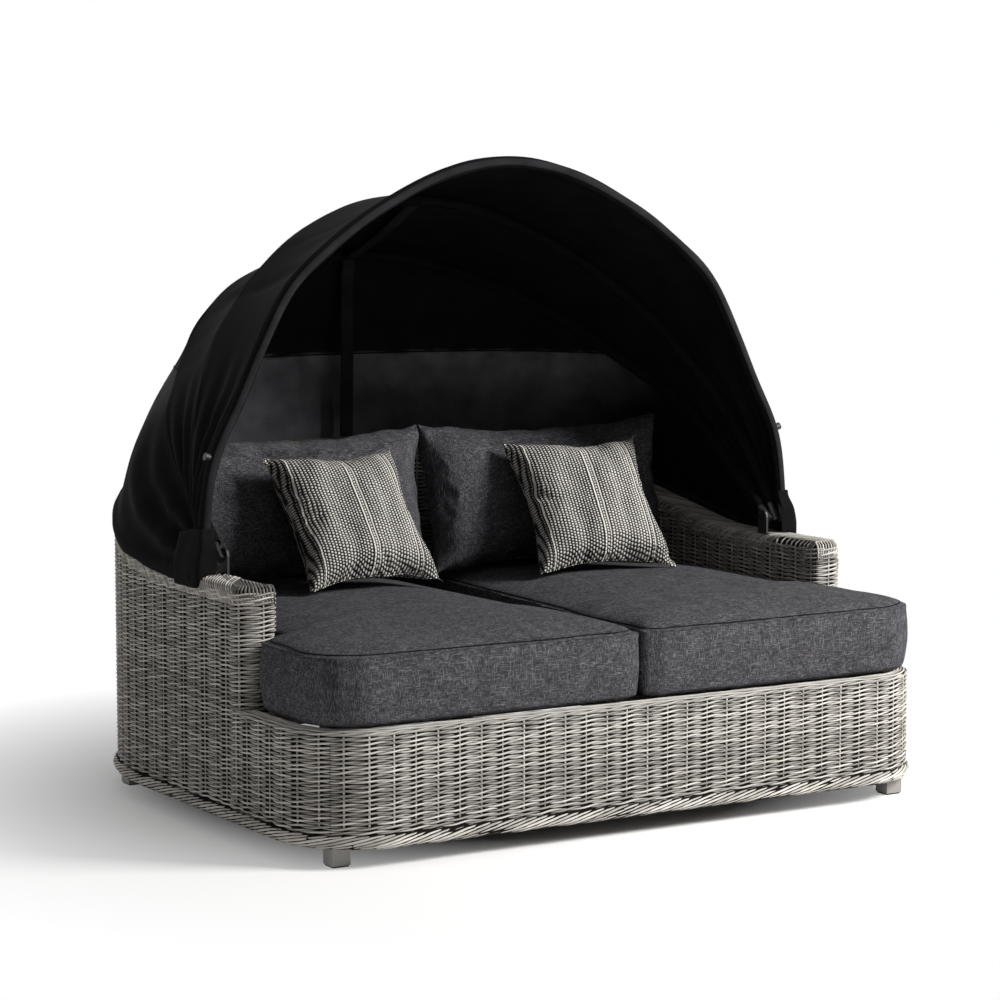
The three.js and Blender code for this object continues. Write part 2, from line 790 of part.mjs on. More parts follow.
function hoopGroup(lean) {
  const group = new THREE.Group();
  group.position.set(0, pivotPlace, pivotHeight);
  group.rotation.x = -THREE.MathUtils.degToRad(lean);
  daybed.add(group);
  return group;
}

function addPlainHoop(name, hoop) {
  const tube = cut(hoopTube(hoopCurve(hoop), hoopSteps), pivotHoles(hoop.halfWidth));
  piece(name, tube, 'darkMetal', hoopGroup(hoop.lean));
}

// The front hoop comes apart above the arms: a spigot on each leg fits in the arch, and a
// knob screws through both
function addFrontHoop() {
  const group = hoopGroup(hoops.front.lean);
  const curve = hoopCurve(hoops.front);
  const split = shareAtHeight(curve, knobHeight);
  const gap = clearance / curve.getLength();
  const bores = [];
  const legs = [];
  const legSteps = 5;
  for (const [name, side] of [['left', -1], ['right', 1]]) {
    const at = side < 0 ? split : 1 - split;
    const foot = side < 0 ? 0 : 1;
    const end = curve.getPointAt(at);
    const upward = curve.getTangentAt(at).multiplyScalar(-side);
    const out = new THREE.Vector3(side, 0, 0).addScaledVector(upward, -side * upward.x).normalize();
    const reach = (distance) => end.clone().addScaledVector(upward, distance);
    bores.push(rod(reach(-overrun), reach(spigotLength + clearance), spigotRadius + clearance, 12));
    const stemAt = reach(spigotLength / 2);
    const along = (from, to, radius, sides) => rod(
      stemAt.clone().addScaledVector(out, from), stemAt.clone().addScaledVector(out, to), radius, sides,
    );
    const stemHole = along(0, tubeRadius + overrun, knobStemRadius + clearance, 12);
    bores.push(stemHole);
    const leg = hoopTube(new Stretch(curve, foot, at + side * gap), legSteps);
    const spigot = rod(reach(-overrun), reach(spigotLength), spigotRadius, 12);
    legs.push([`front_hoop_${name}_leg`, cut(join([leg, spigot]), [stemHole, ...pivotHoles(hoops.front.halfWidth)])]);
    const face = tubeRadius + clearance;
    const stem = along(clearance, face + knobLength / 2, knobStemRadius, 12);
    const grip = along(face, face + knobLength, knobRadius, 16);
    legs.push([`${name}_hoop_knob`, join([stem, grip])]);
  }
  const arch = hoopTube(new Stretch(curve, split, 1 - split), hoopSteps - 2 * legSteps);
  piece('front_hoop_arch', cut(arch, bores), 'darkMetal', group);
  for (const [name, geometry] of legs) {
    piece(name, geometry, name.endsWith('knob') ? 'plastic' : 'darkMetal', group);
  }
}

// Canopy cloth

// Where the cloth meets a hoop: the tube's centre, the way out and the way back, all round it
function clothRib(hoop) {
  const curve = hoopCurve(hoop);
  const start = shareAtHeight(curve, clothStart);
  const axis = new THREE.Vector3(1, 0, 0);
  const lean = -THREE.MathUtils.degToRad(hoop.lean);
  const pivot = new THREE.Vector3(0, pivotPlace, pivotHeight);
  const rearward = new THREE.Vector3(0, 1, 0).applyAxisAngle(axis, lean);
  return shares(clothSteps).map((share) => {
    const at = THREE.MathUtils.lerp(start, 1 - start, share);
    const tangent = curve.getTangentAt(at);
    const outward = new THREE.Vector3(-tangent.z, 0, tangent.x).applyAxisAngle(axis, lean);
    const centre = curve.getPointAt(at).applyAxisAngle(axis, lean).add(pivot);
    return { centre, outward, rearward };
  });
}

// A place on the cloth round a tube. The angle runs from the rear side over the outer side.
function roundTube({ centre, outward, rearward }, angle, standOff = clothStandOff) {
  return centre.clone()
    .addScaledVector(rearward, standOff * Math.cos(angle))
    .addScaledVector(outward, standOff * Math.sin(angle));
}

// The angle at which cloth leaves a tube towards a place, rearward or forward
function leavingAngle(rib, towards, side) {
  const way = towards.clone().sub(rib.centre);
  return Math.atan2(way.dot(rib.outward), way.dot(rib.rearward)) + (side * Math.PI) / 2;
}

const clothStandOff = tubeRadius + clothGap + clothThickness / 2;
const topAngle = Math.PI / 2;
const seamAngle = seamGap / clothStandOff;

// Where two lengths of cloth meet on a tube, halfway between the angles at which they touch it
function seamOn(rib, before, after) {
  const touch = leavingAngle(rib, before, -1);
  const arrive = touch < 0 ? touch + 2 * Math.PI : touch;
  const leave = leavingAngle(rib, after, 1);
  const lift = Math.max(leave - arrive, 0) / 2;
  const angle = (arrive + leave) / 2;
  const standOff = clothStandOff / Math.cos(lift);
  if (lift === 0) return { angle, standOff, onto: roundTube(rib, arrive), off: roundTube(rib, leave) };
  const crease = roundTube(rib, angle, standOff);
  const stepTo = (place) => crease.clone().add(place.clone().sub(crease).setLength(creaseStep));
  return { angle, standOff, onto: stepTo(before), off: stepTo(after) };
}

// Cloth between two hoops: round the first tube, across, drawn in between, round the second
function panelRows(near, far, starts, ends) {
  const across = shares(clothRows);
  const widest = near[clothSteps / 2].centre.distanceTo(far[clothSteps / 2].centre);
  const columns = near.map((a, i) => {
    const b = far[i];
    const first = starts(a, i);
    const last = ends(b, i);
    const start = first.off;
    const end = last.onto;
    const inward = a.centre.clone().add(b.centre).sub(start).sub(end).normalize();
    const sag = clothSag * (a.centre.distanceTo(b.centre) / widest);
    const wrap = shares(first.steps).slice(0, -1)
      .map((share) => roundTube(a, THREE.MathUtils.lerp(first.angle - seamAngle, first.leave, share), first.standOff));
    const span = across.map((share) => start.clone().lerp(end, share)
      .addScaledVector(inward, sag * Math.sin(Math.PI * share) ** 2));
    return [...wrap, ...span, roundTube(b, last.angle + seamAngle, last.standOff)];
  });
  return columns[0].map((_, j) => columns.map((column) => column[j]));
}

// Station on the outline at a share of the way round the back, from arm to arm
function hemStation(share) {
  const arc = (rearCornerRadius * Math.PI) / 2;
  const arm = rearCentreY - pivotPlace;
  const half = rearCentreX + arc + arm;
  const distance = (2 * share - 1) * half;
  const side = Math.sign(distance) || 1;
  const far = Math.abs(distance);
  if (far <= rearCentreX) return { x: distance, y: shellHalfDepth, inward: new THREE.Vector2(0, -1) };
  if (far <= rearCentreX + arc) {
    const angle = Math.PI / 2 - (far - rearCentreX) / rearCornerRadius;
    const out = new THREE.Vector2(side * Math.cos(angle), Math.sin(angle));
    return {
      x: side * rearCentreX + rearCornerRadius * out.x,
      y: rearCentreY + rearCornerRadius * out.y,
      inward: out.negate(),
    };
  }
  const y = rearCentreY - (far - rearCentreX - arc);
  return { x: side * shellHalfWidth, y, inward: new THREE.Vector2(-side, 0) };
}

// The hem of the cloth back, outside the shell
function hemPlace(i) {
  const station = hemStation(i / clothSteps);
  return stationPoint(station, -hemStandOff, wallTop(station) - hemDrop);
}

// Cloth back: from the rear hoop down over the outside of the shell
function backPanelRows(rear, middle) {
  const across = shares(clothRows);
  const columns = rear.map((rib, i) => {
    const { inward } = hemStation(i / clothSteps);
    const out = new THREE.Vector3(-inward.x, -inward.y, 0);
    const hem = hemPlace(i);
    const seam = seamOn(rib, middle[i].centre, hem);
    const start = seam.off;
    const span = across.map((share) => start.clone().lerp(hem, share)
      .addScaledVector(out, backBulge * Math.sin(Math.PI * share) ** 2));
    return [roundTube(rib, seam.angle - seamAngle, seam.standOff), ...span];
  });
  return columns[0].map((_, j) => columns.map((column) => column[j]));
}

// Openings in the cloth's front edge, where the hoop's knobs stand out
function knobNotches() {
  const half = knobRadius + notchMargin;
  const reach = knobLength + tubeRadius + overrun;
  const curve = hoopCurve(hoops.front);
  const split = shareAtHeight(curve, knobHeight);
  return [split, 1 - split].map((share) => {
    const { x, z } = curve.getPointAt(share);
    const depth = half + clothStandOff + overrun;
    return box(2 * reach, depth, 2 * half, x, pivotPlace + half - depth / 2, z + pivotHeight + spigotLength / 2);
  });
}

function addCanopyCloth() {
  const even = () => clothThickness;
  const front = clothRib(hoops.front);
  const middle = clothRib(hoops.middle);
  const rear = clothRib(hoops.rear);
  const edge = topAngle + THREE.MathUtils.degToRad(bindingStartDegrees);
  const frontEdge = (rib, i) => {
    const leave = leavingAngle(rib, middle[i].centre, 1);
    return { angle: edge, steps: 4, standOff: clothStandOff, leave, off: roundTube(rib, leave) };
  };
  const middleSeam = (rib, i) => ({ steps: 1, leave: topAngle, ...seamOn(rib, front[i].centre, rear[i].centre) });
  const rearSeam = (rib, i) => seamOn(rib, middle[i].centre, hemPlace(i));
  const frontPanel = sheet(panelRows(front, middle, frontEdge, middleSeam), even);
  piece('canopy_front_panel', cut(frontPanel, knobNotches()), 'canopy');
  piece('canopy_middle_panel', sheet(panelRows(middle, rear, middleSeam, rearSeam), even), 'canopy');
  piece('canopy_back_panel', sheet(backPanelRows(rear, middle), even), 'canopy');
}

// Binding along the front edge of the cloth, round the front of the tube
function addFrontBinding() {
  const ribs = clothRib(hoops.front);
  const from = topAngle + THREE.MathUtils.degToRad(bindingStartDegrees) + seamAngle;
  const to = topAngle + THREE.MathUtils.degToRad(bindingEndDegrees);
  const rows = shares(4).map((share) => ribs.map((rib) => roundTube(rib, THREE.MathUtils.lerp(from, to, share))));
  piece('canopy_front_binding', sheet(rows, () => clothThickness), 'binding');
}

// Webbing straps on the centre line, held on the inner side of the tubes
function addStraps() {
  const standOff = tubeRadius + strapGap + strapThickness / 2;
  const middleRib = clothRib(hoops.middle)[clothSteps / 2];
  const rearRib = clothRib(hoops.rear)[clothSteps / 2];
  const strap = (start, end, sag) => {
    const steps = 2 * cushionSteps;
    return sheet(shares(steps).map((share) => {
      const place = start.clone().lerp(end, share);
      place.z -= sag * Math.sin(Math.PI * share);
      return [-1, 1].map((side) => place.clone().setX((side * strapWidth) / 2));
    }), () => strapThickness);
  };
  const under = (rib, other, side) => roundTube(rib, leavingAngle(rib, other, side) + Math.PI, standOff);
  const upperEnd = under(rearRib, middleRib.centre, -1);
  const upperStart = under(middleRib, rearRib.centre, 1);
  upperEnd.add(upperStart.clone().sub(upperEnd).setLength(2 * strapThickness));
  const upper = strap(upperStart, upperEnd, strapSag);
  piece('canopy_upper_strap', upper, 'binding');
  const station = hemStation(1 / 2);
  const foot = stationPoint(station, wallThickness / 2, wallTop(station) + clearance);
  const facing = leavingAngle(rearRib, foot, 1) - Math.PI / 2;
  const drop = strap(roundTube(rearRib, facing, tubeRadius + strapGap), foot, 0);
  piece('canopy_lower_strap', drop, 'binding');
}

// Seat cushions: boxed, with a seam round the top edge, a crown, and an ear in front of the arm
function seatOutline() {
  const inner = seatCushionGap / 2;
  const side = shellHalfWidth - wallThickness - seatSideClearance;
  const shape = new THREE.Shape();
  shape.moveTo(inner, seatCushionFront + seatInnerRadius);
  shape.absarc(inner + seatInnerRadius, seatCushionFront + seatInnerRadius, seatInnerRadius,
    Math.PI, 1.5 * Math.PI, false);
  shape.lineTo(seatEarHalfWidth - seatFrontRadius, seatCushionFront);
  shape.absarc(seatEarHalfWidth - seatFrontRadius, seatCushionFront + seatFrontRadius, seatFrontRadius,
    -Math.PI / 2, 0, false);
  shape.lineTo(seatEarHalfWidth, seatEarBack);
  shape.lineTo(side, seatEarBack);
  shape.lineTo(side, seatCushionBack - seatRearRadius);
  shape.absarc(side - seatRearRadius, seatCushionBack - seatRearRadius, seatRearRadius, 0, Math.PI / 2, false);
  shape.lineTo(inner, seatCushionBack);
  return shape;
}

function seatCushion(side) {
  const plan = seatOutline().getSpacedPoints(44).slice(0, -1);
  const centre = new THREE.Vector2(seatEarHalfWidth / 2, seatEarBack - seatSideClearance);
  const height = seatCushionSeam - cushionBottom;
  const ring = (inset, share, z) => plan.map((p, i) => {
    const along = plan[(i + 1) % plan.length].clone().sub(plan[(i + plan.length - 1) % plan.length]);
    const inward = new THREE.Vector2(-along.y, along.x).normalize();
    const away = p.clone().addScaledVector(inward, inset).sub(centre).multiplyScalar(share);
    return new THREE.Vector3(side * (centre.x + away.x), centre.y + away.y, z);
  });
  const crownShares = [0.94, 0.82, 0.62, 0.34];
  const rings = [
    ring(seatDrawIn, 1 / 2, cushionBottom),
    ring(seatDrawIn, 1, cushionBottom),
    ring(seatBulge, 1, cushionBottom + height / 4),
    ring(0, 1, cushionBottom + height / 2),
    ring(seatBulge / 2, 1, cushionBottom + (3 * height) / 4),
    ring(seatDrawIn, 1, seatCushionSeam),
    ...crownShares.map((s) => ring(seatDrawIn, s, seatCushionSeam + seatCushionCrown * (1 - s ** 3))),
  ];
  const bottom = new THREE.Vector3(side * centre.x, centre.y, cushionBottom);
  const top = new THREE.Vector3(side * centre.x, centre.y, seatCushionSeam + seatCushionCrown);
  return ballFrom(bottom, rings, top);
}

// A stuffed square: thick in the middle, sides drawn in between the corners
function stuffed(width, height, thickness, edge, draw) {
  const steps = shares(2 * cushionSteps);
  const rows = steps.map((v) => steps.map((u) => {
    const a = 2 * u - 1;
    const b = 2 * v - 1;
    const x = a * (width / 2 - draw * (1 - b * b) * Math.abs(a));
    const z = b * (height / 2 - draw * (1 - a * a) * Math.abs(b));
    return new THREE.Vector3(x, 0, z);
  }));
  const full = (u, v) => edge + (thickness - edge) * Math.sqrt((1 - (2 * u - 1) ** 4) * (1 - (2 * v - 1) ** 4));
  return sheet(rows, full);
}

// How far a piece can move one way before its corners meet a support, or the support's meet it
function freeWay(geometry, way, supports) {
  const caster = new THREE.Raycaster();
  const solid = (g) => new THREE.Mesh(g, new THREE.MeshBasicMaterial({ side: THREE.DoubleSide }));
  const corners = (g) => {
    const list = g.attributes.position;
    const places = Array.from({ length: list.count }, (_, i) => new THREE.Vector3().fromBufferAttribute(list, i));
    const edge = (i) => [g.index.getX(i), g.index.getX(i % 3 === 2 ? i - 2 : i + 1)];
    const edges = Array.from({ length: g.index.count }, (_, i) => edge(i)).filter(([a, b]) => a < b);
    const inner = edges.flatMap(([a, b]) => [1 / 4, 1 / 2, 3 / 4].map((t) => places[a].clone().lerp(places[b], t)));
    return [...places, ...inner];
  };
  const back = way.clone().negate();
  let least = Infinity;
  const test = (from, target, direction) => {
    caster.set(from, direction);
    const hits = caster.intersectObject(target, false);
    if (hits.length > 0) least = Math.min(least, hits[0].distance);
  };
  const moving = solid(geometry);
  for (const support of supports) {
    const still = solid(support);
    corners(geometry).forEach((p) => test(p, still, way));
    corners(support).forEach((p) => test(p, moving, back));
  }
  return least;
}

function seat(geometry, way, supports) {
  const travel = freeWay(geometry, way, supports) - restGap;
  return geometry.translate(...way.clone().multiplyScalar(travel).toArray());
}

// Tilts a stuffed piece back on its bottom edge and puts that edge down at a place
function leaned(geometry, height, lean, turn, x, y, z) {
  return geometry.translate(0, 0, height / 2)
    .rotateX(-THREE.MathUtils.degToRad(lean))
    .rotateZ(THREE.MathUtils.degToRad(turn))
    .translate(x, y, z);
}

function addCushions() {
  const down = new THREE.Vector3(0, 0, -1);
  const rearward = new THREE.Vector3(0, 1, 0);
  const above = seatCushionSeam + 2 * seatCushionCrown;
  const pillows = {
    left: { x: leftPillowPlace, turn: pillowTurnDegrees },
    right: { x: rightPillowPlace, turn: -pillowTurnDegrees },
  };
  for (const [name, side] of [['left', -1], ['right', 1]]) {
    const base = seatCushion(side);
    piece(`${name}_seat_cushion`, base, 'cushion');
    const across = side * (backCushionWidth / 2 + seatCushionGap);
    const back = leaned(
      stuffed(backCushionWidth, backCushionHeight, backCushionThickness, backCushionEdge, backCushionDraw),
      backCushionHeight, backCushionLeanDegrees, 0, across, backCushionPlace, above,
    );
    piece(`${name}_back_cushion`, seat(back, down, [base]), 'cushion');
    const { x, turn } = pillows[name];
    const pillow = leaned(
      stuffed(pillowSize, pillowSize, pillowThickness, pillowEdge, pillowDraw),
      pillowSize, pillowLeanDegrees, turn, x, pillowPlace, above,
    );
    piece(`${name}_throw_pillow`, seat(seat(pillow, down, [base]), rearward, [back]), 'pillow');
  }
}

addShell();
addBorder();
addBaseFrame();
addUpperFrame();
addSlats();
addFeet();
addPivots();
addPlainHoop('rear_hoop', hoops.rear);
addPlainHoop('middle_hoop', hoops.middle);
addFrontHoop();
addCanopyCloth();
addFrontBinding();
addStraps();
addCushions();

export default daybed;
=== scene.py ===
# %% [markdown]
# Outdoor daybed with a folding canopy. The real thing is a welded aluminium frame with
# resin strand woven over it, loose cushions in a heathered outdoor cloth, and a black cloth
# canopy on three hoops. The engineering model holds every hard part at its true place. This
# file dresses it: real strands for the weave, sewn cushions, and cloth that hangs from its
# hoops. Sizes are in metres, +Z is up and +Y is the back.

# %% Load the fixed model
import math

import bmesh
import bpy
import numpy as np
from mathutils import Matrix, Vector
from mathutils.bvhtree import BVHTree


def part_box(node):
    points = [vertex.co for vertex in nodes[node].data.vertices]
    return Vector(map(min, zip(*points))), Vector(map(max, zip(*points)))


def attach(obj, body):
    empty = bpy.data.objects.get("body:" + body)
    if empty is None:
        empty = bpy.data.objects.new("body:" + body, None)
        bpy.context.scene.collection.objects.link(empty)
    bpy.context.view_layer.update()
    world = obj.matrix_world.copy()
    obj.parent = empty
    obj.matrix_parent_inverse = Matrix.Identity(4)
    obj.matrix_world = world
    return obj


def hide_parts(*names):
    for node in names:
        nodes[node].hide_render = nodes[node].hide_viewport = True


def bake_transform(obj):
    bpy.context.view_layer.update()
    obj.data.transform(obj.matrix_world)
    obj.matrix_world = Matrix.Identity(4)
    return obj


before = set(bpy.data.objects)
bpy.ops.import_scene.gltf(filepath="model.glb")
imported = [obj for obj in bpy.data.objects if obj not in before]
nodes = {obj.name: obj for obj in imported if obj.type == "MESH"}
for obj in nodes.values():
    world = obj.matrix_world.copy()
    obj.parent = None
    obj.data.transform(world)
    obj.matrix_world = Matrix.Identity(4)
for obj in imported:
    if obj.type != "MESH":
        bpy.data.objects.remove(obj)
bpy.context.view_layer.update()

# %% [markdown]
# The camera stands at the front left, a little above arm height, a long way off with a
# long lens, as for a catalogue picture. The place was worked out from the floor marks of
# the feet and the height of the arms, so the daybed fills the square frame.

# %% Camera
CAMERA_PLACE = Vector((-4.235, -7.079, 1.652))
CAMERA_TARGET = Vector((0.036, -0.040, 0.762))
SENSOR = 0.036
FOCAL_SHARE = 3.094

camera_data = bpy.data.cameras.new("camera")
camera_data.sensor_width = SENSOR * 1000
camera_data.lens = camera_data.sensor_width * FOCAL_SHARE
camera = bpy.data.objects.new("camera", camera_data)
bpy.context.scene.collection.objects.link(camera)
camera.location = CAMERA_PLACE
camera.rotation_euler = (CAMERA_TARGET - CAMERA_PLACE).to_track_quat("-Z", "Y").to_euler()
bpy.context.scene.camera = camera
print("camera", round((CAMERA_TARGET - CAMERA_PLACE).length, 3), "m away")

# %% [markdown]
# Small helpers come next. Colours are written as they look on a screen, and one function
# turns them to the linear values that the renderer works in. One function adds a shader
# node with its settings and links, and takes the kind without its ShaderNode start. A link
# may be given as a whole node, which then stands for its first output.

# %% Colour and node helpers
def linear(hex_colour, alpha=1.0):
    """The linear values of a colour as it looks on a screen."""
    values = [int(hex_colour[i:i + 2], 16) / 255 for i in (1, 3, 5)]
    bent = [v / 12.92 if v <= 0.04045 else ((v + 0.055) / 1.055) ** 2.4 for v in values]
    return (*bent, alpha)


def add_node(tree, kind, settings=None, inputs=None, **links):
    node = tree.nodes.new("ShaderNode" + kind)
    for name, value in (settings or {}).items():
        setattr(node, name, value)
    for name, value in (inputs or {}).items():
        node.inputs[name].default_value = value
    for name, source in links.items():
        key = {"first": 0, "second": 1, "third": 2}.get(name, name)
        link(tree, source, node.inputs[key])
    return node


def link(tree, source, socket):
    tree.links.new(source.outputs[0] if hasattr(source, "outputs") else source, socket)


def new_material(name, roughness, metallic=0.0, colour="#808080", ior=1.5):
    material = bpy.data.materials.new(name)
    material.use_nodes = True
    tree = material.node_tree
    shader = tree.nodes["Principled BSDF"]
    shader.inputs["Base Color"].default_value = linear(colour)
    shader.inputs["Roughness"].default_value = roughness
    shader.inputs["Metallic"].default_value = metallic
    if metallic < 0.5:
        shader.inputs["IOR"].default_value = ior
    material.diffuse_color = linear(colour)
    return material, tree, shader


def ramp(tree, factor, stops):
    """Colours over a factor from nought to one."""
    node = add_node(tree, "ValToRGB", Fac=factor)
    elements = node.color_ramp.elements
    while len(elements) < len(stops):
        elements.new(0.5)
    for element, (place, colour) in zip(elements, stops):
        element.position = place
        element.color = linear(colour)
    return node


def bump(tree, shader, height, strength, distance):
    """Small relief in the shading, so many metres high."""
    node = add_node(tree, "Bump", inputs={"Strength": strength, "Distance": distance},
                    Height=height)
    link(tree, node, shader.inputs["Normal"])


print("mid grey is", round(linear("#808080")[0], 3), "in linear light")

# %% [markdown]
# One more function turns lists of points into a mesh object, because a wall of some hundred
# metres of strand is better laid by a formula than by hand. The rest give a piece its material
# and the body that it rides on, and apply a modifier for good.

# %% Mesh helpers
def mesh_object(name, verts, faces):
    """A mesh object from arrays of places and of faces that all have as many corners."""
    verts = np.asarray(verts, np.float32).reshape(-1, 3)
    faces = np.asarray(faces, np.int32)
    mesh = bpy.data.meshes.new(name)
    mesh.vertices.add(len(verts))
    mesh.vertices.foreach_set("co", verts.ravel())
    count, corners = faces.shape
    mesh.loops.add(count * corners)
    mesh.loops.foreach_set("vertex_index", faces.ravel())
    mesh.polygons.add(count)
    mesh.polygons.foreach_set("loop_start", np.arange(0, count * corners, corners, dtype=np.int32))
    mesh.polygons.foreach_set("loop_total", np.full(count, corners, np.int32))
    mesh.update(calc_edges=True)
    mesh.validate()
    smooth(mesh)
    return in_scene(name, mesh)


def in_scene(name, data):
    item = bpy.data.objects.new(name, data)
    bpy.context.scene.collection.objects.link(item)
    return item


def unit(ways):
    """The same directions with a length of one."""
    return ways / np.linalg.norm(ways, axis=-1)[..., None]


def run_along(line):
    """How far along a line each of its places lies."""
    return np.concatenate([[0], np.cumsum(np.linalg.norm(np.diff(line, axis=0), axis=1))])


def smooth(mesh):
    mesh.polygons.foreach_set("use_smooth", np.full(len(mesh.polygons), True))


def paint(piece, material, body="root"):
    """Gives a piece its material, and the body that it rides on if it has just one."""
    piece.data.materials.clear()
    piece.data.materials.append(material)
    if body:
        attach(piece, body)
    return piece


def finish_node(name, material):
    """Gives a hard part of the engineering model its finish."""
    piece = nodes[name]
    piece.data.materials.clear()
    piece.data.materials.append(material)


def alone(piece):
    """Makes a piece the only one that the next tool works on."""
    bpy.ops.object.select_all(action="DESELECT")
    piece.select_set(True)
    bpy.context.view_layer.objects.active = piece


def weld(piece, distance):
    """Joins corners that lie on each other and turns every face outwards."""
    alone(piece)
    bpy.ops.object.mode_set(mode="EDIT")
    bpy.ops.mesh.select_all(action="SELECT")
    bpy.ops.mesh.remove_doubles(threshold=distance)
    bpy.ops.mesh.normals_make_consistent(inside=False)
    bpy.ops.object.mode_set(mode="OBJECT")


def apply_modifier(piece, kind, **settings):
    modifier = piece.modifiers.new(kind.title(), kind)
    for name, value in settings.items():
        setattr(modifier, name, value)
    alone(piece)
    bpy.ops.object.modifier_apply(modifier=modifier.name)


print(sum(len(nodes[name].data.polygons) for name in nodes), "faces in the plain solids")

# %% [markdown]
# The weave is the largest thing that the eye meets. On the real daybed a round resin
# strand about 5 mm thick runs round the wall and passes in front of one upright stake and
# behind the next, and the row above does the opposite. A bump pattern can't give the dark
# lens-shaped gaps beside each stake, so the strands here are real tubes. They follow the
# outline of the wall, given as places along its length, from the middle of the front
# round the right side to the back and on to the left.

# %% Outline of the shell
HALF_WIDTH = 0.915
HALF_DEPTH = 0.800
FRONT_RADIUS = 0.200
REAR_RADIUS = 0.600
ARM_FRONT = -0.397
ARM_END_RADIUS = 0.045
WALL = 0.092
ARM_HEIGHT = 0.630
BACK_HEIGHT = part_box("back_shell")[1].z
RISE_LENGTH = 1.100
LEDGE_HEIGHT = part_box("front_apron")[1].z
WEAVE_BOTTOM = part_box("front_apron")[0].z
# The middles of the rounded corners: of the front, of the rear and of an arm's outer end.
FRONT_X, FRONT_Y = HALF_WIDTH - FRONT_RADIUS, FRONT_RADIUS - HALF_DEPTH
REAR_X, REAR_Y = HALF_WIDTH - REAR_RADIUS, HALF_DEPTH - REAR_RADIUS
ARM_X, ARM_Y = HALF_WIDTH - ARM_END_RADIUS, ARM_FRONT + ARM_END_RADIUS


def line_part(x0, y0, x1, y1):
    """A straight stretch: its length, and what gives places and outward ways along it."""
    length = math.hypot(x1 - x0, y1 - y0)

    def place(s):
        share = s / length
        out = ((y1 - y0) / length, -(x1 - x0) / length)
        x, y = x0 + (x1 - x0) * share, y0 + (y1 - y0) * share
        return x, y, np.full_like(s, out[0]), np.full_like(s, out[1])
    return length, place


def arc_part(cx, cy, radius, start, turn=90):
    """A round stretch about a middle, from a start angle in degrees."""
    length = radius * math.radians(turn)

    def place(s):
        angle = math.radians(start) + s / radius
        return cx + radius * np.cos(angle), cy + radius * np.sin(angle), np.cos(angle), np.sin(angle)
    return length, place


class Route:
    """Straight and round parts joined end to end, met at a distance along them."""

    def __init__(self, parts, start=0.0, closed=False):
        self.parts = parts
        self.start = start
        self.closed = closed
        self.length = sum(length for length, _ in parts)

    def at(self, s, inset=0.0):
        s = np.asarray(s, float) - self.start
        if self.closed:
            s = s % self.length
        x, y, nx, ny = (np.zeros_like(s) for _ in range(4))
        low = 0.0
        for i, (length, place) in enumerate(self.parts):
            last = i == len(self.parts) - 1
            mask = (s >= low) & ((s < low + length) | last) if i else (s < low + length)
            values = place(s[mask] - low)
            for target, value in zip((x, y, nx, ny), values):
                target[mask] = value
            low += length
        return x - nx * inset, y - ny * inset, nx, ny


def mirrored(parts):
    """The same parts met in the other order on the other side."""
    flipped = []
    for length, place in reversed(parts):
        def other(s, length=length, place=place):
            x, y, nx, ny = place(length - s)
            return -x, y, -nx, ny
        flipped.append((length, other))
    return flipped


half_parts = [
    line_part(0, -HALF_DEPTH, FRONT_X, -HALF_DEPTH),
    arc_part(FRONT_X, FRONT_Y, FRONT_RADIUS, 270),
    line_part(HALF_WIDTH, FRONT_Y, HALF_WIDTH, REAR_Y),
    arc_part(REAR_X, REAR_Y, REAR_RADIUS, 0),
    line_part(REAR_X, HALF_DEPTH, 0, HALF_DEPTH),
]
lower_route = Route(half_parts + mirrored(half_parts), closed=True)
LOOP = lower_route.length
SIDE_START = sum(length for length, _ in half_parts[:2])
ARM_JOIN = SIDE_START + ARM_Y - FRONT_Y

ARM_TURN = 0.052  # how far the upper rows run on along an arm's inner side
arm_end_parts = [
    line_part(HALF_WIDTH - WALL, ARM_FRONT + ARM_TURN, HALF_WIDTH - WALL, ARM_FRONT),
    line_part(HALF_WIDTH - WALL, ARM_FRONT, ARM_X, ARM_FRONT),
    arc_part(ARM_X, ARM_Y, ARM_END_RADIUS, 270),
    line_part(HALF_WIDTH, ARM_Y, HALF_WIDTH, REAR_Y),
]
upper_half = arm_end_parts + half_parts[3:]
CORNER_START = ARM_JOIN - arm_end_parts[1][0] - arm_end_parts[2][0]
UPPER_START = CORNER_START - ARM_TURN
upper_route = Route(upper_half + mirrored(upper_half), UPPER_START)


def eased(value, low, high):
    """Nought at the low end, one at the high end and level at both."""
    share = np.clip((value - low) / (high - low), 0, 1)
    return share * share * (3 - 2 * share)


def risen(distance):
    """The height of the top edge, so far along from where it starts to rise."""
    return ARM_HEIGHT + (BACK_HEIGHT - ARM_HEIGHT) * eased(distance, 0, RISE_LENGTH)


def wall_top(s):
    """The height of the top edge at a distance along the outline."""
    return risen(np.minimum(s, LOOP - s) - SIDE_START + FRONT_Y)


print("outline", round(LOOP, 3), "m, upper rows", round(upper_route.length, 3), "m")

# %% [markdown]
# A strand is a tube with five or six sides, laid through its centre places. All strands
# of one wall share a mesh, and each carries a tone of its own in a colour attribute, so
# that one material gives the mixed weathered greys of the real strand.

# %% Tubes along many routes
def tube_arrays(centres, side_way, up_way, radius, sides=5, closed=False):
    """Corners and faces of a tube through its centres, with the two ways across it."""
    angles = np.arange(sides) * 2 * math.pi / sides
    ring = (side_way[:, None, :] * np.cos(angles)[None, :, None]
            + up_way[:, None, :] * np.sin(angles)[None, :, None])
    radius = np.asarray(radius, float).reshape(-1, 1, 1)
    verts = (centres[:, None, :] + ring * radius).reshape(-1, 3)
    count = len(centres)
    spans = count if closed else count - 1
    i = np.repeat(np.arange(spans), sides)
    j = np.tile(np.arange(sides), spans)
    k = (j + 1) % sides
    here, nxt = i * sides, ((i + 1) % count) * sides
    return verts, np.stack([here + j, here + k, nxt + k, nxt + j], 1)


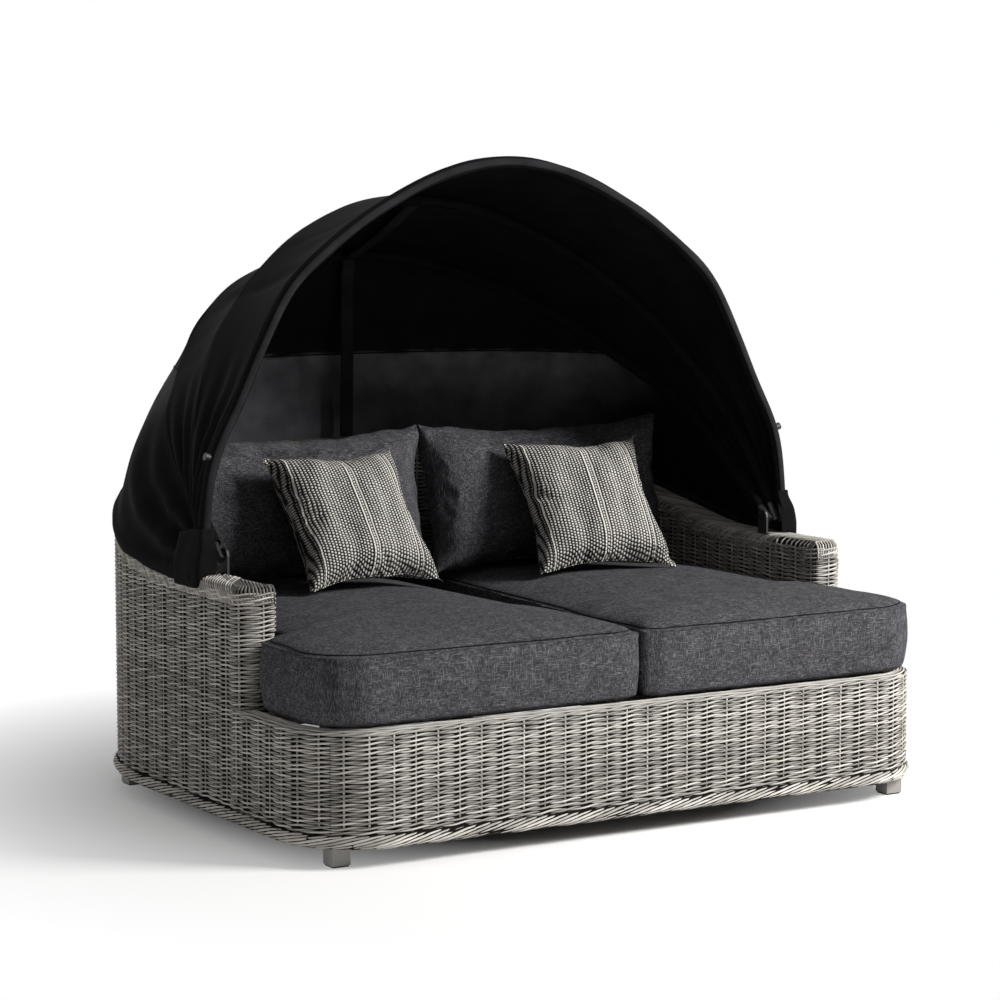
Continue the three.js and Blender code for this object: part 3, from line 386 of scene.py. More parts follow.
def painted_crevice_shade(outward, nearness, sides=5):
    """Painted shade on each corner of a strand: darker on the sides turned to the wall and where it lies
    deep.
    """
    angles = np.arange(sides) * 2 * math.pi / sides
    ring = 0.60 + 0.40 * outward * np.cos(angles)
    return (nearness[:, None] * ring[None, :]).ravel()


class Bundle:
    """Gathers strands into one mesh object."""

    def __init__(self):
        self.verts, self.faces, self.tones, self.shades, self.count = [], [], [], [], 0

    # shade is painted shade: stakes and ledge strands, with no ring of their own, keep a flat 0.7.
    def add(self, verts, faces, tone, shade=0.7):
        self.verts.append(verts)
        self.faces.append(faces + self.count)
        self.tones.append(np.full(len(verts), tone, np.float32))
        self.shades.append(np.zeros(len(verts), np.float32) + shade)
        self.count += len(verts)

    def build(self, name):
        verts = np.concatenate(self.verts)
        faces = np.concatenate(self.faces)
        piece = mesh_object(name, verts, faces)
        close_ends(piece)
        for layer, values in (("Tone", self.tones), ("Shade", self.shades)):
            attribute = piece.data.attributes.new(layer, "FLOAT", "POINT")
            attribute.data.foreach_set("value", np.concatenate(values))
        print(name, "faces", len(piece.data.polygons))
        return piece


def close_ends(piece):
    """Fills the open ends of the tubes, so that every strand is a closed body."""
    shape = bmesh.new()
    shape.from_mesh(piece.data)
    open_edges = [edge for edge in shape.edges if edge.is_boundary]
    if open_edges:
        bmesh.ops.holes_fill(shape, edges=open_edges, sides=8)
    bmesh.ops.recalc_face_normals(shape, faces=shape.faces)
    shape.to_mesh(piece.data)
    shape.free()
    smooth(piece.data)


def flat_ways(nx, ny):
    """Level directions in three numbers, from their two parts."""
    return np.stack([nx, ny, np.zeros_like(nx)], 1)


# Painted shade round a strand in front, darkest on its side turned to the wall.
print("a clean strand's shade goes from", painted_crevice_shade(1, np.ones(1)).min().round(2), "to 1.0 round its sides")

# %% [markdown]
# The weave itself is pairing: two strands twist round each other, and half a turn is taken
# between one stake and the next. At a stake one strand lies in front and one behind, and the
# core's painted shade shows above and below it. Halfway between stakes the two lie one above
# the other and close the gap. So a row is a pair of helices with a whole turn every two stakes.

# %% Rows of strand
ROW_PITCH = 0.0112
STAKE_PITCH = 0.060
STRAND_RADIUS = 0.00265
STRAND_BASE = 0.0027
STRAND_DEPTH = 0.0025
STRAND_SWING = 0.0028
STRAND_WOBBLE = 0.0007
STAKE_RADIUS = 0.0029
STAKE_HIDDEN = 0.020
UP = np.array([0.0, 0.0, 1.0])
seed = np.random.default_rng(7)


def wobble(s, size, length=0.13):
    """A slow random wave, because a strand laid by hand is never quite straight."""
    phases = seed.uniform(0, 2 * math.pi, 3)
    waves = [np.sin(2 * math.pi * s / (length * k) + p) for k, p in zip((1.0, 0.61, 1.73), phases)]
    return size * sum(waves) / 1.6


def lay_pair(bundle, route, s, z, turn, outside=1.0, base=0.0):
    """Two strands round the stakes; base is how far in the face of the wall lies."""
    angle = math.pi * s / STAKE_PITCH + turn
    for flip in (0.0, math.pi):
        depth = STRAND_BASE + STRAND_DEPTH * np.cos(angle + flip)
        lift = STRAND_SWING * np.sin(angle + flip) + wobble(s, STRAND_WOBBLE)
        x, y, nx, ny = route.at(s, base - outside * depth)
        out = flat_ways(nx, ny) * outside
        # Painted shade: a strand is darker where it passes behind a stake.
        near = 0.75 + 0.25 * np.cos(angle + flip)
        centres = np.stack([x, y, z + lift], 1)
        bundle.add(*tube_arrays(centres, out, np.broadcast_to(UP, out.shape), STRAND_RADIUS),
                   seed.uniform(), painted_crevice_shade(1, near))


def cut_to_top(s, z, margin=0.012):
    """The stretches of a row that lie under the rising top edge."""
    keep = wall_top(s) - margin > z
    breaks = np.flatnonzero(np.diff(keep.astype(int))) + 1
    return [part for part in np.split(np.arange(len(s)), breaks) if keep[part[0]] and len(part) > 3]


def steps(start, end, step):
    """Even distances from one to another, about a step apart."""
    return np.linspace(start, end, max(int(abs(end - start) / step), 2))


LOWER_ROWS = np.arange(WEAVE_BOTTOM + 0.006, LEDGE_HEIGHT - 0.003, ROW_PITCH)
UPPER_ROWS = np.arange(LOWER_ROWS[-1] + ROW_PITCH, BACK_HEIGHT, ROW_PITCH)
BACK_START = SIDE_START - FRONT_Y
CUSHION_TOP = 0.515
HALF = LOOP / 2


def add_rows(bundle, route, heights, start, end, first_row=0, step=0.011, **face):
    """Rows of strand up to the top edge. Beside a seat cushion they stop at the arm's corner."""
    for row, z in enumerate(heights, first_row):
        s = steps(start, end, step)
        if route is upper_route and z < CUSHION_TOP:
            s = s[(s > CORNER_START) & (s < LOOP - CORNER_START)]
        for part in cut_to_top(s, z):
            lay_pair(bundle, route, s[part], z, math.pi * (row % 2), **face)


def add_stakes(bundle, route, start, end, low, high, outside=1.0, base=0.0):
    """Upright stakes a set pitch apart, with their upper ends hidden under the top edge."""
    for number in range(math.ceil(start / STAKE_PITCH), math.floor(end / STAKE_PITCH) + 1):
        s = np.array([number * STAKE_PITCH + seed.normal(0, 0.0006)])
        x, y, nx, ny = route.at(s, base - outside * 0.0026)
        top = high or wall_top(s)[0] - STAKE_HIDDEN
        z = np.linspace(low, top, max(int((top - low) / 0.05), 2))
        centres = np.stack([np.full_like(z, x[0]), np.full_like(z, y[0]), z], 1)
        out = np.broadcast_to(flat_ways(nx, ny), centres.shape)
        along = np.broadcast_to(flat_ways(-ny, nx), centres.shape)
        bundle.add(*tube_arrays(centres, out, along, STAKE_RADIUS), seed.uniform(0.4, 1.0))


print(len(LOWER_ROWS), "rows up to the ledge and", len(UPPER_ROWS), "above it")

# %% [markdown]
# The top of the arms and of the back is wrapped: one strand after another rises slantwise up
# the outside, goes over the rounded edge and ends on the inside. The loops stand a little
# more than their own thickness apart, so dark gaps show between them, and each leans by a
# random amount. Round the front end of an arm they spread like a fan.

# %% Wrapped top edge and ledge
EDGE_RADIUS = 0.016
WRAP_PITCH = 0.0125
WRAP_REACH = 0.042
WRAP_LIFT = 0.0034
WRAP_RADIUS = 0.0028
WRAP_SLANT = 1.35
LEDGE_RADIUS = 0.0030
UPRIGHT_LENGTH = 1.6
FAN_LOOPS = 14
FAN_LEAN = 0.045


def edge_section(corner_steps=4):
    """Insets and heights over the top edge, from the outside to the inside."""
    angles = np.linspace(math.pi, math.pi / 2, corner_steps)
    reach = EDGE_RADIUS + WRAP_LIFT
    outer = [(EDGE_RADIUS + reach * math.cos(a), -EDGE_RADIUS + reach * math.sin(a)) for a in angles]
    middle = [(WALL * share, WRAP_LIFT) for share in (0.35, 0.5, 0.65)]
    inner = [(WALL - inset, drop) for inset, drop in reversed(outer)]
    low = (outer[0][0], -WRAP_REACH)
    return np.array([low, *outer, *middle, *inner, (inner[-1][0], -WRAP_REACH)])


def lay_loop(bundle, centres, side):
    """One loop of strand; side is the way along the wall, so the tube keeps its roll."""
    ahead = unit(np.gradient(centres, axis=0))
    across = unit(np.cross(ahead, side))
    # Painted shade on the side of the loop turned to the core.
    bundle.add(*tube_arrays(centres, across, np.cross(across, ahead), WRAP_RADIUS), seed.uniform(0.15, 1.0),
               painted_crevice_shade(-1, np.ones(len(centres))))


def wrap_edge(name, start, end, rearward):
    """The slanting loops along the top of an arm and of the back."""
    bundle = Bundle()
    section = edge_section()
    run = run_along(section)
    for s in np.linspace(start, end, int((end - start) / WRAP_PITCH)):
        slant = WRAP_SLANT * min(abs(s - HALF) / UPRIGHT_LENGTH, 1.0)
        along = s + rearward * slant * run + seed.normal(0, 0.0012) * np.linspace(-1, 1, len(section))
        x, y, nx, ny = upper_route.at(along, section[:, 0])
        z = wall_top(along) + section[:, 1] + seed.normal(0, 0.0004)
        lay_loop(bundle, np.stack([x, y, z], 1), flat_ways(-ny, nx))
    return bundle.build(name)


def add_arm_front_wraps(bundle, side):
    """The wrapped loops that spread round the rounded front of an arm."""
    reach = ARM_END_RADIUS - 0.018 + WRAP_SLANT * (WALL + 2 * WRAP_REACH)
    for share in np.linspace(0.0, 1.0, FAN_LOOPS):
        s = CORNER_START + 0.004 + share * (ARM_JOIN - CORNER_START + 0.002)
        places_of = upper_route.at(np.array([s, s - share * FAN_LEAN]))
        x, y, nx, ny = (value[0] for value in places_of)
        foot = np.array([value[1] for value in places_of])
        foot_at = np.array([(foot[0] + foot[2] * WRAP_LIFT) * side, foot[1] + foot[3] * WRAP_LIFT,
                            ARM_HEIGHT - WRAP_REACH])
        edge = np.array([x * side, y, ARM_HEIGHT])
        out = np.array([nx * side, ny, 0.0])
        inner = np.array([side * (HALF_WIDTH - WALL), ARM_FRONT + 0.014 + share ** 1.3 * reach, ARM_HEIGHT])
        way = np.array([-side, 0.0, 0.0])
        over = inner - way * EDGE_RADIUS
        lip = edge - out * EDGE_RADIUS * 0.5
        centres = np.array([
            foot_at, edge + out * WRAP_LIFT - UP * EDGE_RADIUS,
            edge + out * 0.0005 - UP * 0.004, lip + UP * WRAP_LIFT * 0.8,
            lip * 0.67 + over * 0.33 + UP * WRAP_LIFT, lip * 0.33 + over * 0.67 + UP * WRAP_LIFT,
            over + UP * WRAP_LIFT * 0.8, inner - way * 0.001 - UP * 0.006,
            inner + way * WRAP_LIFT - UP * EDGE_RADIUS, inner + way * WRAP_LIFT - UP * WRAP_REACH])
        lay_loop(bundle, centres, np.broadcast_to(np.array([-out[1], out[0], 0.0]) * side, centres.shape))


def add_ledge(bundle, start, end, step=0.012):
    """Long strands that roll over the front edge of the seat base, by how far in and how high they lie."""
    rolled = [(-0.001, -0.006), (0.004, 0.0005), (0.011, 0.0026)]
    rolled += [(0.019, 0.0024), (0.027, 0.0022), (0.035, 0.0016)]
    for inset, z in rolled:
        s = steps(start, end, step)
        shift = wobble(s, 0.0012, 0.3)
        x, y, nx, ny = lower_route.at(s, inset + shift)
        centres = np.stack([x, y, LEDGE_HEIGHT + z + wobble(s, STRAND_WOBBLE)], 1)
        out = flat_ways(nx, ny)
        bundle.add(*tube_arrays(centres, out, np.broadcast_to(UP, out.shape), LEDGE_RADIUS),
                   seed.uniform(0.3, 1.0))


print(len(edge_section()), "places in a loop over the top edge")

# %% [markdown]
# Under the rows a braid closes the foot of the weave. Its strands wind round a core in one
# direction, so from outside they show as long slanting strands.

# %% Braided border
BRAID_STRANDS = 11
BRAID_TURN = 0.36
BRAID_RADIUS = 0.0034
BRAID_HALF_HEIGHT = 0.0135
BRAID_HALF_DEPTH = 0.0115
BRAID_HEIGHT = (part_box("braided_border")[0].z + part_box("braided_border")[1].z) / 2


def braid(name):
    """Strands wound round a core that follows the foot of the wall."""
    bundle = Bundle()
    turns = round(LOOP / BRAID_TURN)
    s = np.linspace(0, LOOP, int(LOOP / 0.008), endpoint=False)
    for number in range(BRAID_STRANDS):
        angle = 2 * math.pi * (s / LOOP * turns + number / BRAID_STRANDS)
        reach = 1 + wobble(s, 0.07, LOOP / 31)
        depth = BRAID_HALF_DEPTH * np.cos(angle) * reach + 0.0025
        x, y, nx, ny = lower_route.at(s, -depth)
        centres = np.stack([x, y, BRAID_HEIGHT + BRAID_HALF_HEIGHT * np.sin(angle) * reach], 1)
        out = flat_ways(nx, ny)
        # Painted shade: a braid strand is darker where it winds behind the core.
        near = 0.6 + 0.4 * np.cos(angle)
        bundle.add(*tube_arrays(centres, out, np.broadcast_to(UP, out.shape), BRAID_RADIUS, 6, closed=True),
                   seed.uniform(), painted_crevice_shade(1, near, 6))
    return bundle.build(name)


print(BRAID_STRANDS, "strands, one turn every", round(LOOP / round(LOOP / BRAID_TURN), 3), "m")

# %% [markdown]
# The strand is a grey-beige resin with a grain drawn along it. A tone kept on each strand
# picks its grey, a slow noise weathers it, and painted shade darkens the sides turned to
# the wall. The near black core behind the strands is painted shade for the hollow wall, and
# it is what makes the weave read as open work.

# %% Weave materials
WEATHER_SCALE = 38.0                  # weathered patches about 26 mm across
GRAIN_SCALES = (150.0, 150.0, 1300.0)  # grain about 7 mm long and 0.8 mm wide


def strand_material():
    """Round resin strand: mixed weathered greys, a fine lengthwise grain and painted shade by the wall."""
    material, tree, shader = new_material("woven_resin_strand", 0.6, colour="#8f8a82", ior=1.33)
    tone = add_node(tree, "Attribute", {"attribute_name": "Tone"}).outputs["Fac"]
    place = add_node(tree, "TexCoord").outputs["Object"]
    cloudy = add_node(tree, "TexNoise", inputs={"Scale": WEATHER_SCALE, "Detail": 3.0}, Vector=place)
    half = add_node(tree, "Math", {"operation": "MULTIPLY"}, {1: 0.4}, first=cloudy)
    mixed = add_node(tree, "Math", {"operation": "MULTIPLY_ADD"}, {1: 0.6},
                     first=tone, third=half)
    greys = [(0.12, "#78736d"), (0.42, "#a7a29b"), (0.64, "#c8c3bb"), (0.88, "#e3ded6")]
    # Painted shade from the Shade attribute darkens the strand's colour.
    shade = add_node(tree, "Attribute", {"attribute_name": "Shade"}).outputs["Fac"]
    painted_shade_colour = add_node(tree, "VectorMath", {"operation": "SCALE"}, Vector=ramp(tree, mixed, greys),
                     Scale=shade)
    link(tree, painted_shade_colour, shader.inputs["Base Color"])
    stretch = add_node(tree, "Mapping", inputs={"Scale": GRAIN_SCALES}, Vector=place)
    grain = add_node(tree, "TexNoise", inputs={"Scale": 1.0, "Detail": 2.0}, Vector=stretch)
    bump(tree, shader, grain, 0.35, 0.0004)
    return material


def core_material():
    """Painted shade for the hollow frame and backing: near black gives the eye the dark gaps between the
    strands.
    """
    return new_material("shadowed_weave_core", 0.95, colour="#191614", ior=1.1)[0]


strand, core = strand_material(), core_material()
print("materials", strand.name, core.name)

# %% [markdown]
# The weave is built stretch by stretch: the front apron first, and then the arm, the back,
# the inside and the wrapped edge of each side. Each stretch is a piece of its own, and the
# plain walls behind turn into the dark core of painted shade.

# %% Build the weave
FRONT_END = ARM_JOIN + 0.001
STAKE_BOTTOM = WEAVE_BOTTOM + 0.02
INNER_BOTTOM = 0.50
INSIDE = {"outside": -1.0, "base": WALL}


def front_weave():
    """The strands, stakes and rolled ledge of the front apron."""
    front = Bundle()
    add_rows(front, lower_route, LOWER_ROWS, -FRONT_END, FRONT_END, step=0.010)
    add_stakes(front, lower_route, -FRONT_END, FRONT_END, STAKE_BOTTOM, LEDGE_HEIGHT - 0.004)
    add_ledge(front, -FRONT_END + 0.004, FRONT_END - 0.004)
    return front.build("front_apron_weave")


def side_weave(name, side):
    """All the strands of one side, where 1 is the right side and -1 the left one."""
    def span(a, b):
        return (a, b) if side > 0 else (LOOP - b, LOOP - a)

    arm, back, inside, loops = Bundle(), Bundle(), Bundle(), Bundle()
    add_rows(arm, lower_route, LOWER_ROWS, *span(FRONT_END - 0.002, BACK_START))
    add_rows(arm, upper_route, UPPER_ROWS, *span(UPPER_START, BACK_START), len(LOWER_ROWS))
    add_stakes(arm, lower_route, *span(FRONT_END, BACK_START), STAKE_BOTTOM, None)
    add_stakes(arm, upper_route, *span(UPPER_START, FRONT_END), LEDGE_HEIGHT, ARM_HEIGHT - STAKE_HIDDEN)
    pieces = [arm.build(name + "_arm_weave")]
    add_rows(back, lower_route, LOWER_ROWS, *span(BACK_START, HALF))
    add_rows(back, upper_route, UPPER_ROWS, *span(BACK_START, HALF), len(LOWER_ROWS))
    add_stakes(back, lower_route, *span(BACK_START, HALF), STAKE_BOTTOM, None)
    pieces.append(back.build(name + "_back_weave"))
    inner_rows = np.arange(INNER_BOTTOM, BACK_HEIGHT, ROW_PITCH)
    add_rows(inside, upper_route, inner_rows, *span(ARM_JOIN, HALF), step=0.014, **INSIDE)
    add_stakes(inside, upper_route, *span(ARM_JOIN, HALF), INNER_BOTTOM - 0.01, None, **INSIDE)
    pieces.append(inside.build(name + "_inner_weave"))
    wrap_start = ARM_JOIN - FAN_LEAN + WRAP_PITCH / 2
    pieces.append(wrap_edge(name + "_edge_wrap", *span(wrap_start, HALF), side))
    add_arm_front_wraps(loops, side)
    return pieces + [loops.build(name + "_arm_front_wrap")]


# The plain walls behind the weave get the core's painted shade.
for wall in ("front_apron", "left_arm_shell", "right_arm_shell", "back_shell", "braided_border"):
    finish_node(wall, core)
weave = [front_weave(), *side_weave("right", 1), *side_weave("left", -1)]
for piece in weave:
    paint(piece, strand)
paint(braid("braided_border_strands"), strand)
print("weave pieces", len(weave))

# %% [markdown]
# The frame shows only at the feet: square tube with a grey powder coat, on dark plastic
# glides. The hoops and pivot brackets are coated in near black, the knobs and washers are
# black plastic, and the bolts are darkened steel.

# %% Hardware materials
FINE_SCALE = 900.0  # grain about 1 mm across


def coated_metal(name, colour, roughness):
    """Powder coat: it gives the eye a soft sheen that the fine orange peel of the coat breaks up."""
    material, tree, shader = new_material(name, roughness, colour=colour)
    place = add_node(tree, "TexCoord").outputs["Object"]
    speckle = add_node(tree, "TexNoise", inputs={"Scale": FINE_SCALE, "Detail": 1.0}, Vector=place)
    bump(tree, shader, speckle, 0.15, 0.0002)
    return material


def finish_hardware():
    """Sorts the hard parts by the start of their name into four finishes."""
    grey = coated_metal("grey_powder_coat", "#8b8783", 0.42)
    dark = coated_metal("black_powder_coat", "#131314", 0.5)
    # Darkened bolts and nuts: small dull glints at the pivots.
    steel = new_material("blackened_stainless_steel", 0.45, 1.0, "#2c2c2d")[0]
    # Moulded knobs, washers and glides: flat black, with no grain.
    plastic = new_material("black_plastic", 0.5, colour="#161617", ior=1.46)[0]
    groups = [
        (grey, ("base_frame", "arm_and_back_frame", "seat_slat", "foot_")),
        (dark, ("rear_hoop", "middle_hoop", "front_hoop", "left_pivot_bracket", "right_pivot_bracket")),
        (steel, ("left_pivot_bolt", "right_pivot_bolt", "left_pivot_nut", "right_pivot_nut")),
        (plastic, ("glide_", "left_hoop_knob", "right_hoop_knob", "left_washer", "right_washer")),
    ]
    for name in nodes:
        for material, starts in groups:
            if name.startswith(starts):
                finish_node(name, material)


finish_hardware()
print("hardware finished")

# %% [markdown]
# The studio is white. A soft key light stands high at the front right, so the left side
# turns away from it and the shadow falls to the left. The floor takes that shadow near the
# daybed and goes over to plain white two metres from its middle. The white is there for the
# rays that look at the studio, and what lights the daybed is softer.

# %% Floor and light
WHITE_FROM = 0.75
WHITE_AT = 1.9


def seen_rays(tree):
    """One for the rays that look at the studio itself, nought for those that light it."""
    ray = add_node(tree, "LightPath").outputs
    two = add_node(tree, "Math", {"operation": "MAXIMUM"},
                   first=ray["Is Camera Ray"], second=ray["Is Glossy Ray"])
    return add_node(tree, "Math", {"operation": "MAXIMUM"}, first=two, second=ray["Is Transmission Ray"])


def add_floor():
    """A pale matt floor: it gives the eye the soft shadow, and goes over to plain white further off."""
    bpy.ops.mesh.primitive_plane_add(size=60, location=(0, 0, 0))
    floor = bpy.context.active_object
    floor.name = "floor"
    material, tree, shader = new_material("pale_floor", 0.9, colour="#f8f7f5")
    place = add_node(tree, "TexCoord").outputs["Object"]
    away = add_node(tree, "VectorMath", {"operation": "LENGTH"}, Vector=place)
    fade = add_node(tree, "MapRange", inputs={"From Min": WHITE_FROM, "From Max": WHITE_AT},
                    Value=away.outputs["Value"])
    seen = add_node(tree, "Math", {"operation": "MULTIPLY"}, first=fade, second=seen_rays(tree))
    white = add_node(tree, "Emission", inputs={"Color": linear("#ffffff"), "Strength": 1.0})
    mix = add_node(tree, "MixShader", first=seen, second=shader, third=white)
    link(tree, mix, tree.nodes["Material Output"].inputs["Surface"])
    floor.data.materials.append(material)


def add_area(name, place, target, size, power):
    """A soft light of a width and height in metres and a power in watts, turned to its target."""
    data = bpy.data.lights.new(name, "AREA")
    data.shape = "RECTANGLE"
    data.size, data.size_y = size
    data.energy = power
    light = in_scene(name, data)
    light.location = place
    light.rotation_euler = (Vector(target) - Vector(place)).to_track_quat("-Z", "Y").to_euler()


def add_world():
    """White for the eye and soft pale light for the daybed."""
    world = bpy.data.worlds.new("studio")
    bpy.context.scene.world = world
    world.use_nodes = True
    tree = world.node_tree
    tree.nodes.clear()
    soft = add_node(tree, "Background", inputs={"Color": linear("#f6f6f8"), "Strength": 0.24})
    white = add_node(tree, "Background", inputs={"Color": linear("#ffffff"), "Strength": 1.0})
    mix = add_node(tree, "MixShader", first=seen_rays(tree), second=soft, third=white)
    add_node(tree, "OutputWorld", Surface=mix)


add_floor()
add_area("key", place=(4.2, -4.2, 4.1), target=(0, 0, 0.5), size=(2.2, 2.2), power=760)
add_area("left_fill", place=(-5.0, 0.6, 2.2), target=(-0.9, 0, 0.5), size=(2.4, 1.8), power=14)
add_world()
bpy.context.scene.view_settings.view_transform = "Standard"
print("floor and light set")

# %% [markdown]
# The cushions are foam in a sewn cover. Each starts as the plain solid that holds its
# place, drawn in a little, and air pressure in a cloth simulation swells it back out. So
# the cover goes tight over the middle and pulls in beside its corners, as a sewn one does.
# The swelling is softly capped, and a cushion is pushed back where it rests on something.

# %% Working on a cover's mesh
def own_copy(node_name, name):
    """The plain solid's own mesh at its own place, to be worked on."""
    source = nodes[node_name]
    mesh = source.data.copy()
    mesh.transform(source.matrix_world)
    mesh.materials.clear()
    piece = in_scene(name, mesh)
    weld(piece, 0.0002)
    return piece


def read_threes(items, key):
    values = np.empty(len(items) * 3, np.float32)
    items.foreach_get(key, values)
    return values.reshape(-1, 3).astype(float)


def places(mesh):
    return read_threes(mesh.vertices, "co")


def directions(mesh):
    return read_threes(mesh.vertex_normals, "vector")


def move_to(mesh, points):
    mesh.vertices.foreach_set("co", points.astype(np.float32).ravel())
    mesh.update()


def push_out(piece, distance):
    """Moves each place along its own outward direction."""
    facing = directions(piece.data)
    move_to(piece.data, places(piece.data) + facing * np.broadcast_to(distance, len(facing))[:, None])


def keep_vectors(piece, name, values):
    layer = piece.data.attributes.new(name, "FLOAT_VECTOR", "POINT")
    layer.data.foreach_set("vector", values.astype(np.float32).ravel())


def remesh(piece, voxel):
    """Even small faces all over, for the cloth to bend at."""
    apply_modifier(piece, "REMESH", mode="VOXEL", voxel_size=voxel)
    apply_modifier(piece, "SMOOTH", factor=0.5, iterations=3)


def swell(piece, cap, pressure, frames=20):
    """Air pressure under the cover, with each point's way softly capped."""
    start = places(piece.data)
    cloth = piece.modifiers.new("Cover", "CLOTH")
    cloth.settings.quality = 5
    cloth.settings.use_pressure = True
    cloth.settings.uniform_pressure_force = pressure
    cloth.settings.effector_weights.gravity = 0
    cloth.point_cache.frame_start = 1
    cloth.point_cache.frame_end = frames
    for frame_number in range(1, frames + 1):
        bpy.context.scene.frame_set(frame_number)
    graph = bpy.context.evaluated_depsgraph_get()
    moved = places(piece.evaluated_get(graph).data) - start
    piece.modifiers.remove(cloth)
    bpy.context.scene.frame_set(1)
    far = np.linalg.norm(moved, axis=1)[:, None] + 1e-9
    print(piece.name, "swelled", np.round(np.percentile(far, (5, 50, 95)) * 1000, 1), "mm")
    move_to(piece.data, start + moved / far * cap * np.tanh(far / cap))


def fill_room(piece, node_name, axes):
    """Stretches the cover a little along its own axes, so that it fills its plain solid's room."""
    solid = places(nodes[node_name].data)
    points = places(piece.data)
    grown = []
    for way in np.array(axes, float):
        have, room = points @ way, solid @ way
        scale = (room.max() - room.min()) / (have.max() - have.min())
        points += (room.min() + (have - have.min()) * scale - have)[:, None] * way
        grown.append(round(scale, 3))
    print(piece.name, "stretched", grown)
    move_to(piece.data, points)


def hold_in(piece, node_name, where):
    """Pushes the cover back to the plain solid where it would reach into a neighbour."""
    source = nodes[node_name]
    solid = source.data.copy()
    solid.transform(source.matrix_world)
    tree = BVHTree.FromPolygons([v.co for v in solid.vertices], [list(p.vertices) for p in solid.polygons])
    points = places(piece.data)
    for i in np.flatnonzero(where(points, directions(piece.data))):
        spot, normal, _, _ = tree.find_nearest(Vector(points[i]))
        past = (Vector(points[i]) - spot).dot(normal)
        if past > 0:
            points[i] -= np.array(normal) * past
    bpy.data.meshes.remove(solid)
    move_to(piece.data, points)


def ripple(points, size, length, number):
    """A smooth random field, for the small hollows of a used cushion."""
    dice = np.random.default_rng(number)
    total = np.zeros(len(points))
    for share in (1.0, 0.8, 0.62, 0.5, 0.41):
        way = unit(dice.normal(size=3))
        total += share * np.sin(points @ way * 2 * math.pi / (length * share) + dice.uniform(0, 6.28))
    return size * total / 2


print("plain faces of a seat cushion", len(nodes["right_seat_cushion"].data.polygons))

# %% [markdown]
# Seams are what tells a sewn cover from a smooth pebble. Each is a line where a plane cuts
# the cover: a thin cord lies along it, and the cover beside it is drawn in or stands proud.

# %% Seams and edges
def slice_loop(piece, at, normal):
    """The closed line where a plane cuts the cover, as places in order."""
    shape = bmesh.new()
    shape.from_mesh(piece.data)
    cut = bmesh.ops.bisect_plane(shape, geom=shape.verts[:] + shape.edges[:] + shape.faces[:],
                                 plane_co=at, plane_no=normal)
    linked = {}
    for edge in (part for part in cut["geom_cut"] if isinstance(part, bmesh.types.BMEdge)):
        a, b = edge.verts
        linked.setdefault(a, []).append(b)
        linked.setdefault(b, []).append(a)
    best, seen = [], set()
    for first in linked:
        walk = []
        ahead = [] if first in seen else [first]
        while ahead:
            walk.append(ahead[0])
            seen.add(ahead[0])
            ahead = [vertex for vertex in linked[walk[-1]] if vertex not in seen]
        best = walk if len(walk) > len(best) else best
    points = np.array([v.co[:] for v in best])
    shape.free()
    return points


def even_loop(points, step, ease=3):
    """The same closed line with places at even steps, eased a little."""
    ring = np.vstack([points, points[:1]])
    run = run_along(ring)
    s = np.linspace(0, run[-1], int(run[-1] / step), endpoint=False)
    line = np.stack([np.interp(s, run, ring[:, k]) for k in range(3)], 1)
    for _ in range(ease):
        line = line / 2 + (np.roll(line, 1, 0) + np.roll(line, -1, 0)) / 4
    return line


def seam_cord(piece, name, at, normal, radius, material, body="root"):
    """A stitched ridge laid along the line where the halves of the cover are sewn."""
    line = even_loop(slice_loop(piece, at, normal), 0.006)
    up = np.broadcast_to(np.array(normal, float), line.shape)
    ahead = np.roll(line, -1, 0) - np.roll(line, 1, 0)
    cord = mesh_object(name, *tube_arrays(line, unit(np.cross(ahead, up)), up, radius, 6, closed=True))
    close_ends(cord)
    mark_facing(cord)
    return paint(cord, material, body)


def square_edges(piece, size):
    """Pushes the rounded upper edges out a little, because firm foam fills them."""
    upward = np.clip(directions(piece.data)[:, 2], 0, 1)
    push_out(piece, size * 2 * upward * np.sqrt(1 - upward ** 2))


def ridge(piece, height, size, width):
    """Pulls the cover outwards beside a level seam, where the turned-in cloth stiffens it."""
    points = places(piece.data)
    facing = directions(piece.data) * (1, 1, 0)
    facing /= np.linalg.norm(facing, axis=1)[:, None] + 0.3
    away = (points[:, 2] - height) / width
    move_to(piece.data, points + facing * (size * np.exp(-away ** 2))[:, None])


def groove(piece, at, normal, depth, width):
    """Draws the cover in along a seam."""
    away = (places(piece.data) - np.array(at)) @ np.array(normal)
    push_out(piece, -depth * np.exp(-(away / width) ** 2))


print("a seam follows", len(even_loop(np.eye(3), 0.5)), "places round a small test loop")

# %% [markdown]
# The seat and back covers are a charcoal outdoor cloth with a slub: short light threads
# run both ways over a dark ground. Three stretched noises stand for the threads along each
# axis, so that the cloth reads the same on the top and on every side.

# %% Cushion cloth
SLUB_LENGTH = 0.018
SLUB_WIDTH = 0.0020
PATCH_SCALE = 26.0  # lighter and darker patches about 38 mm across


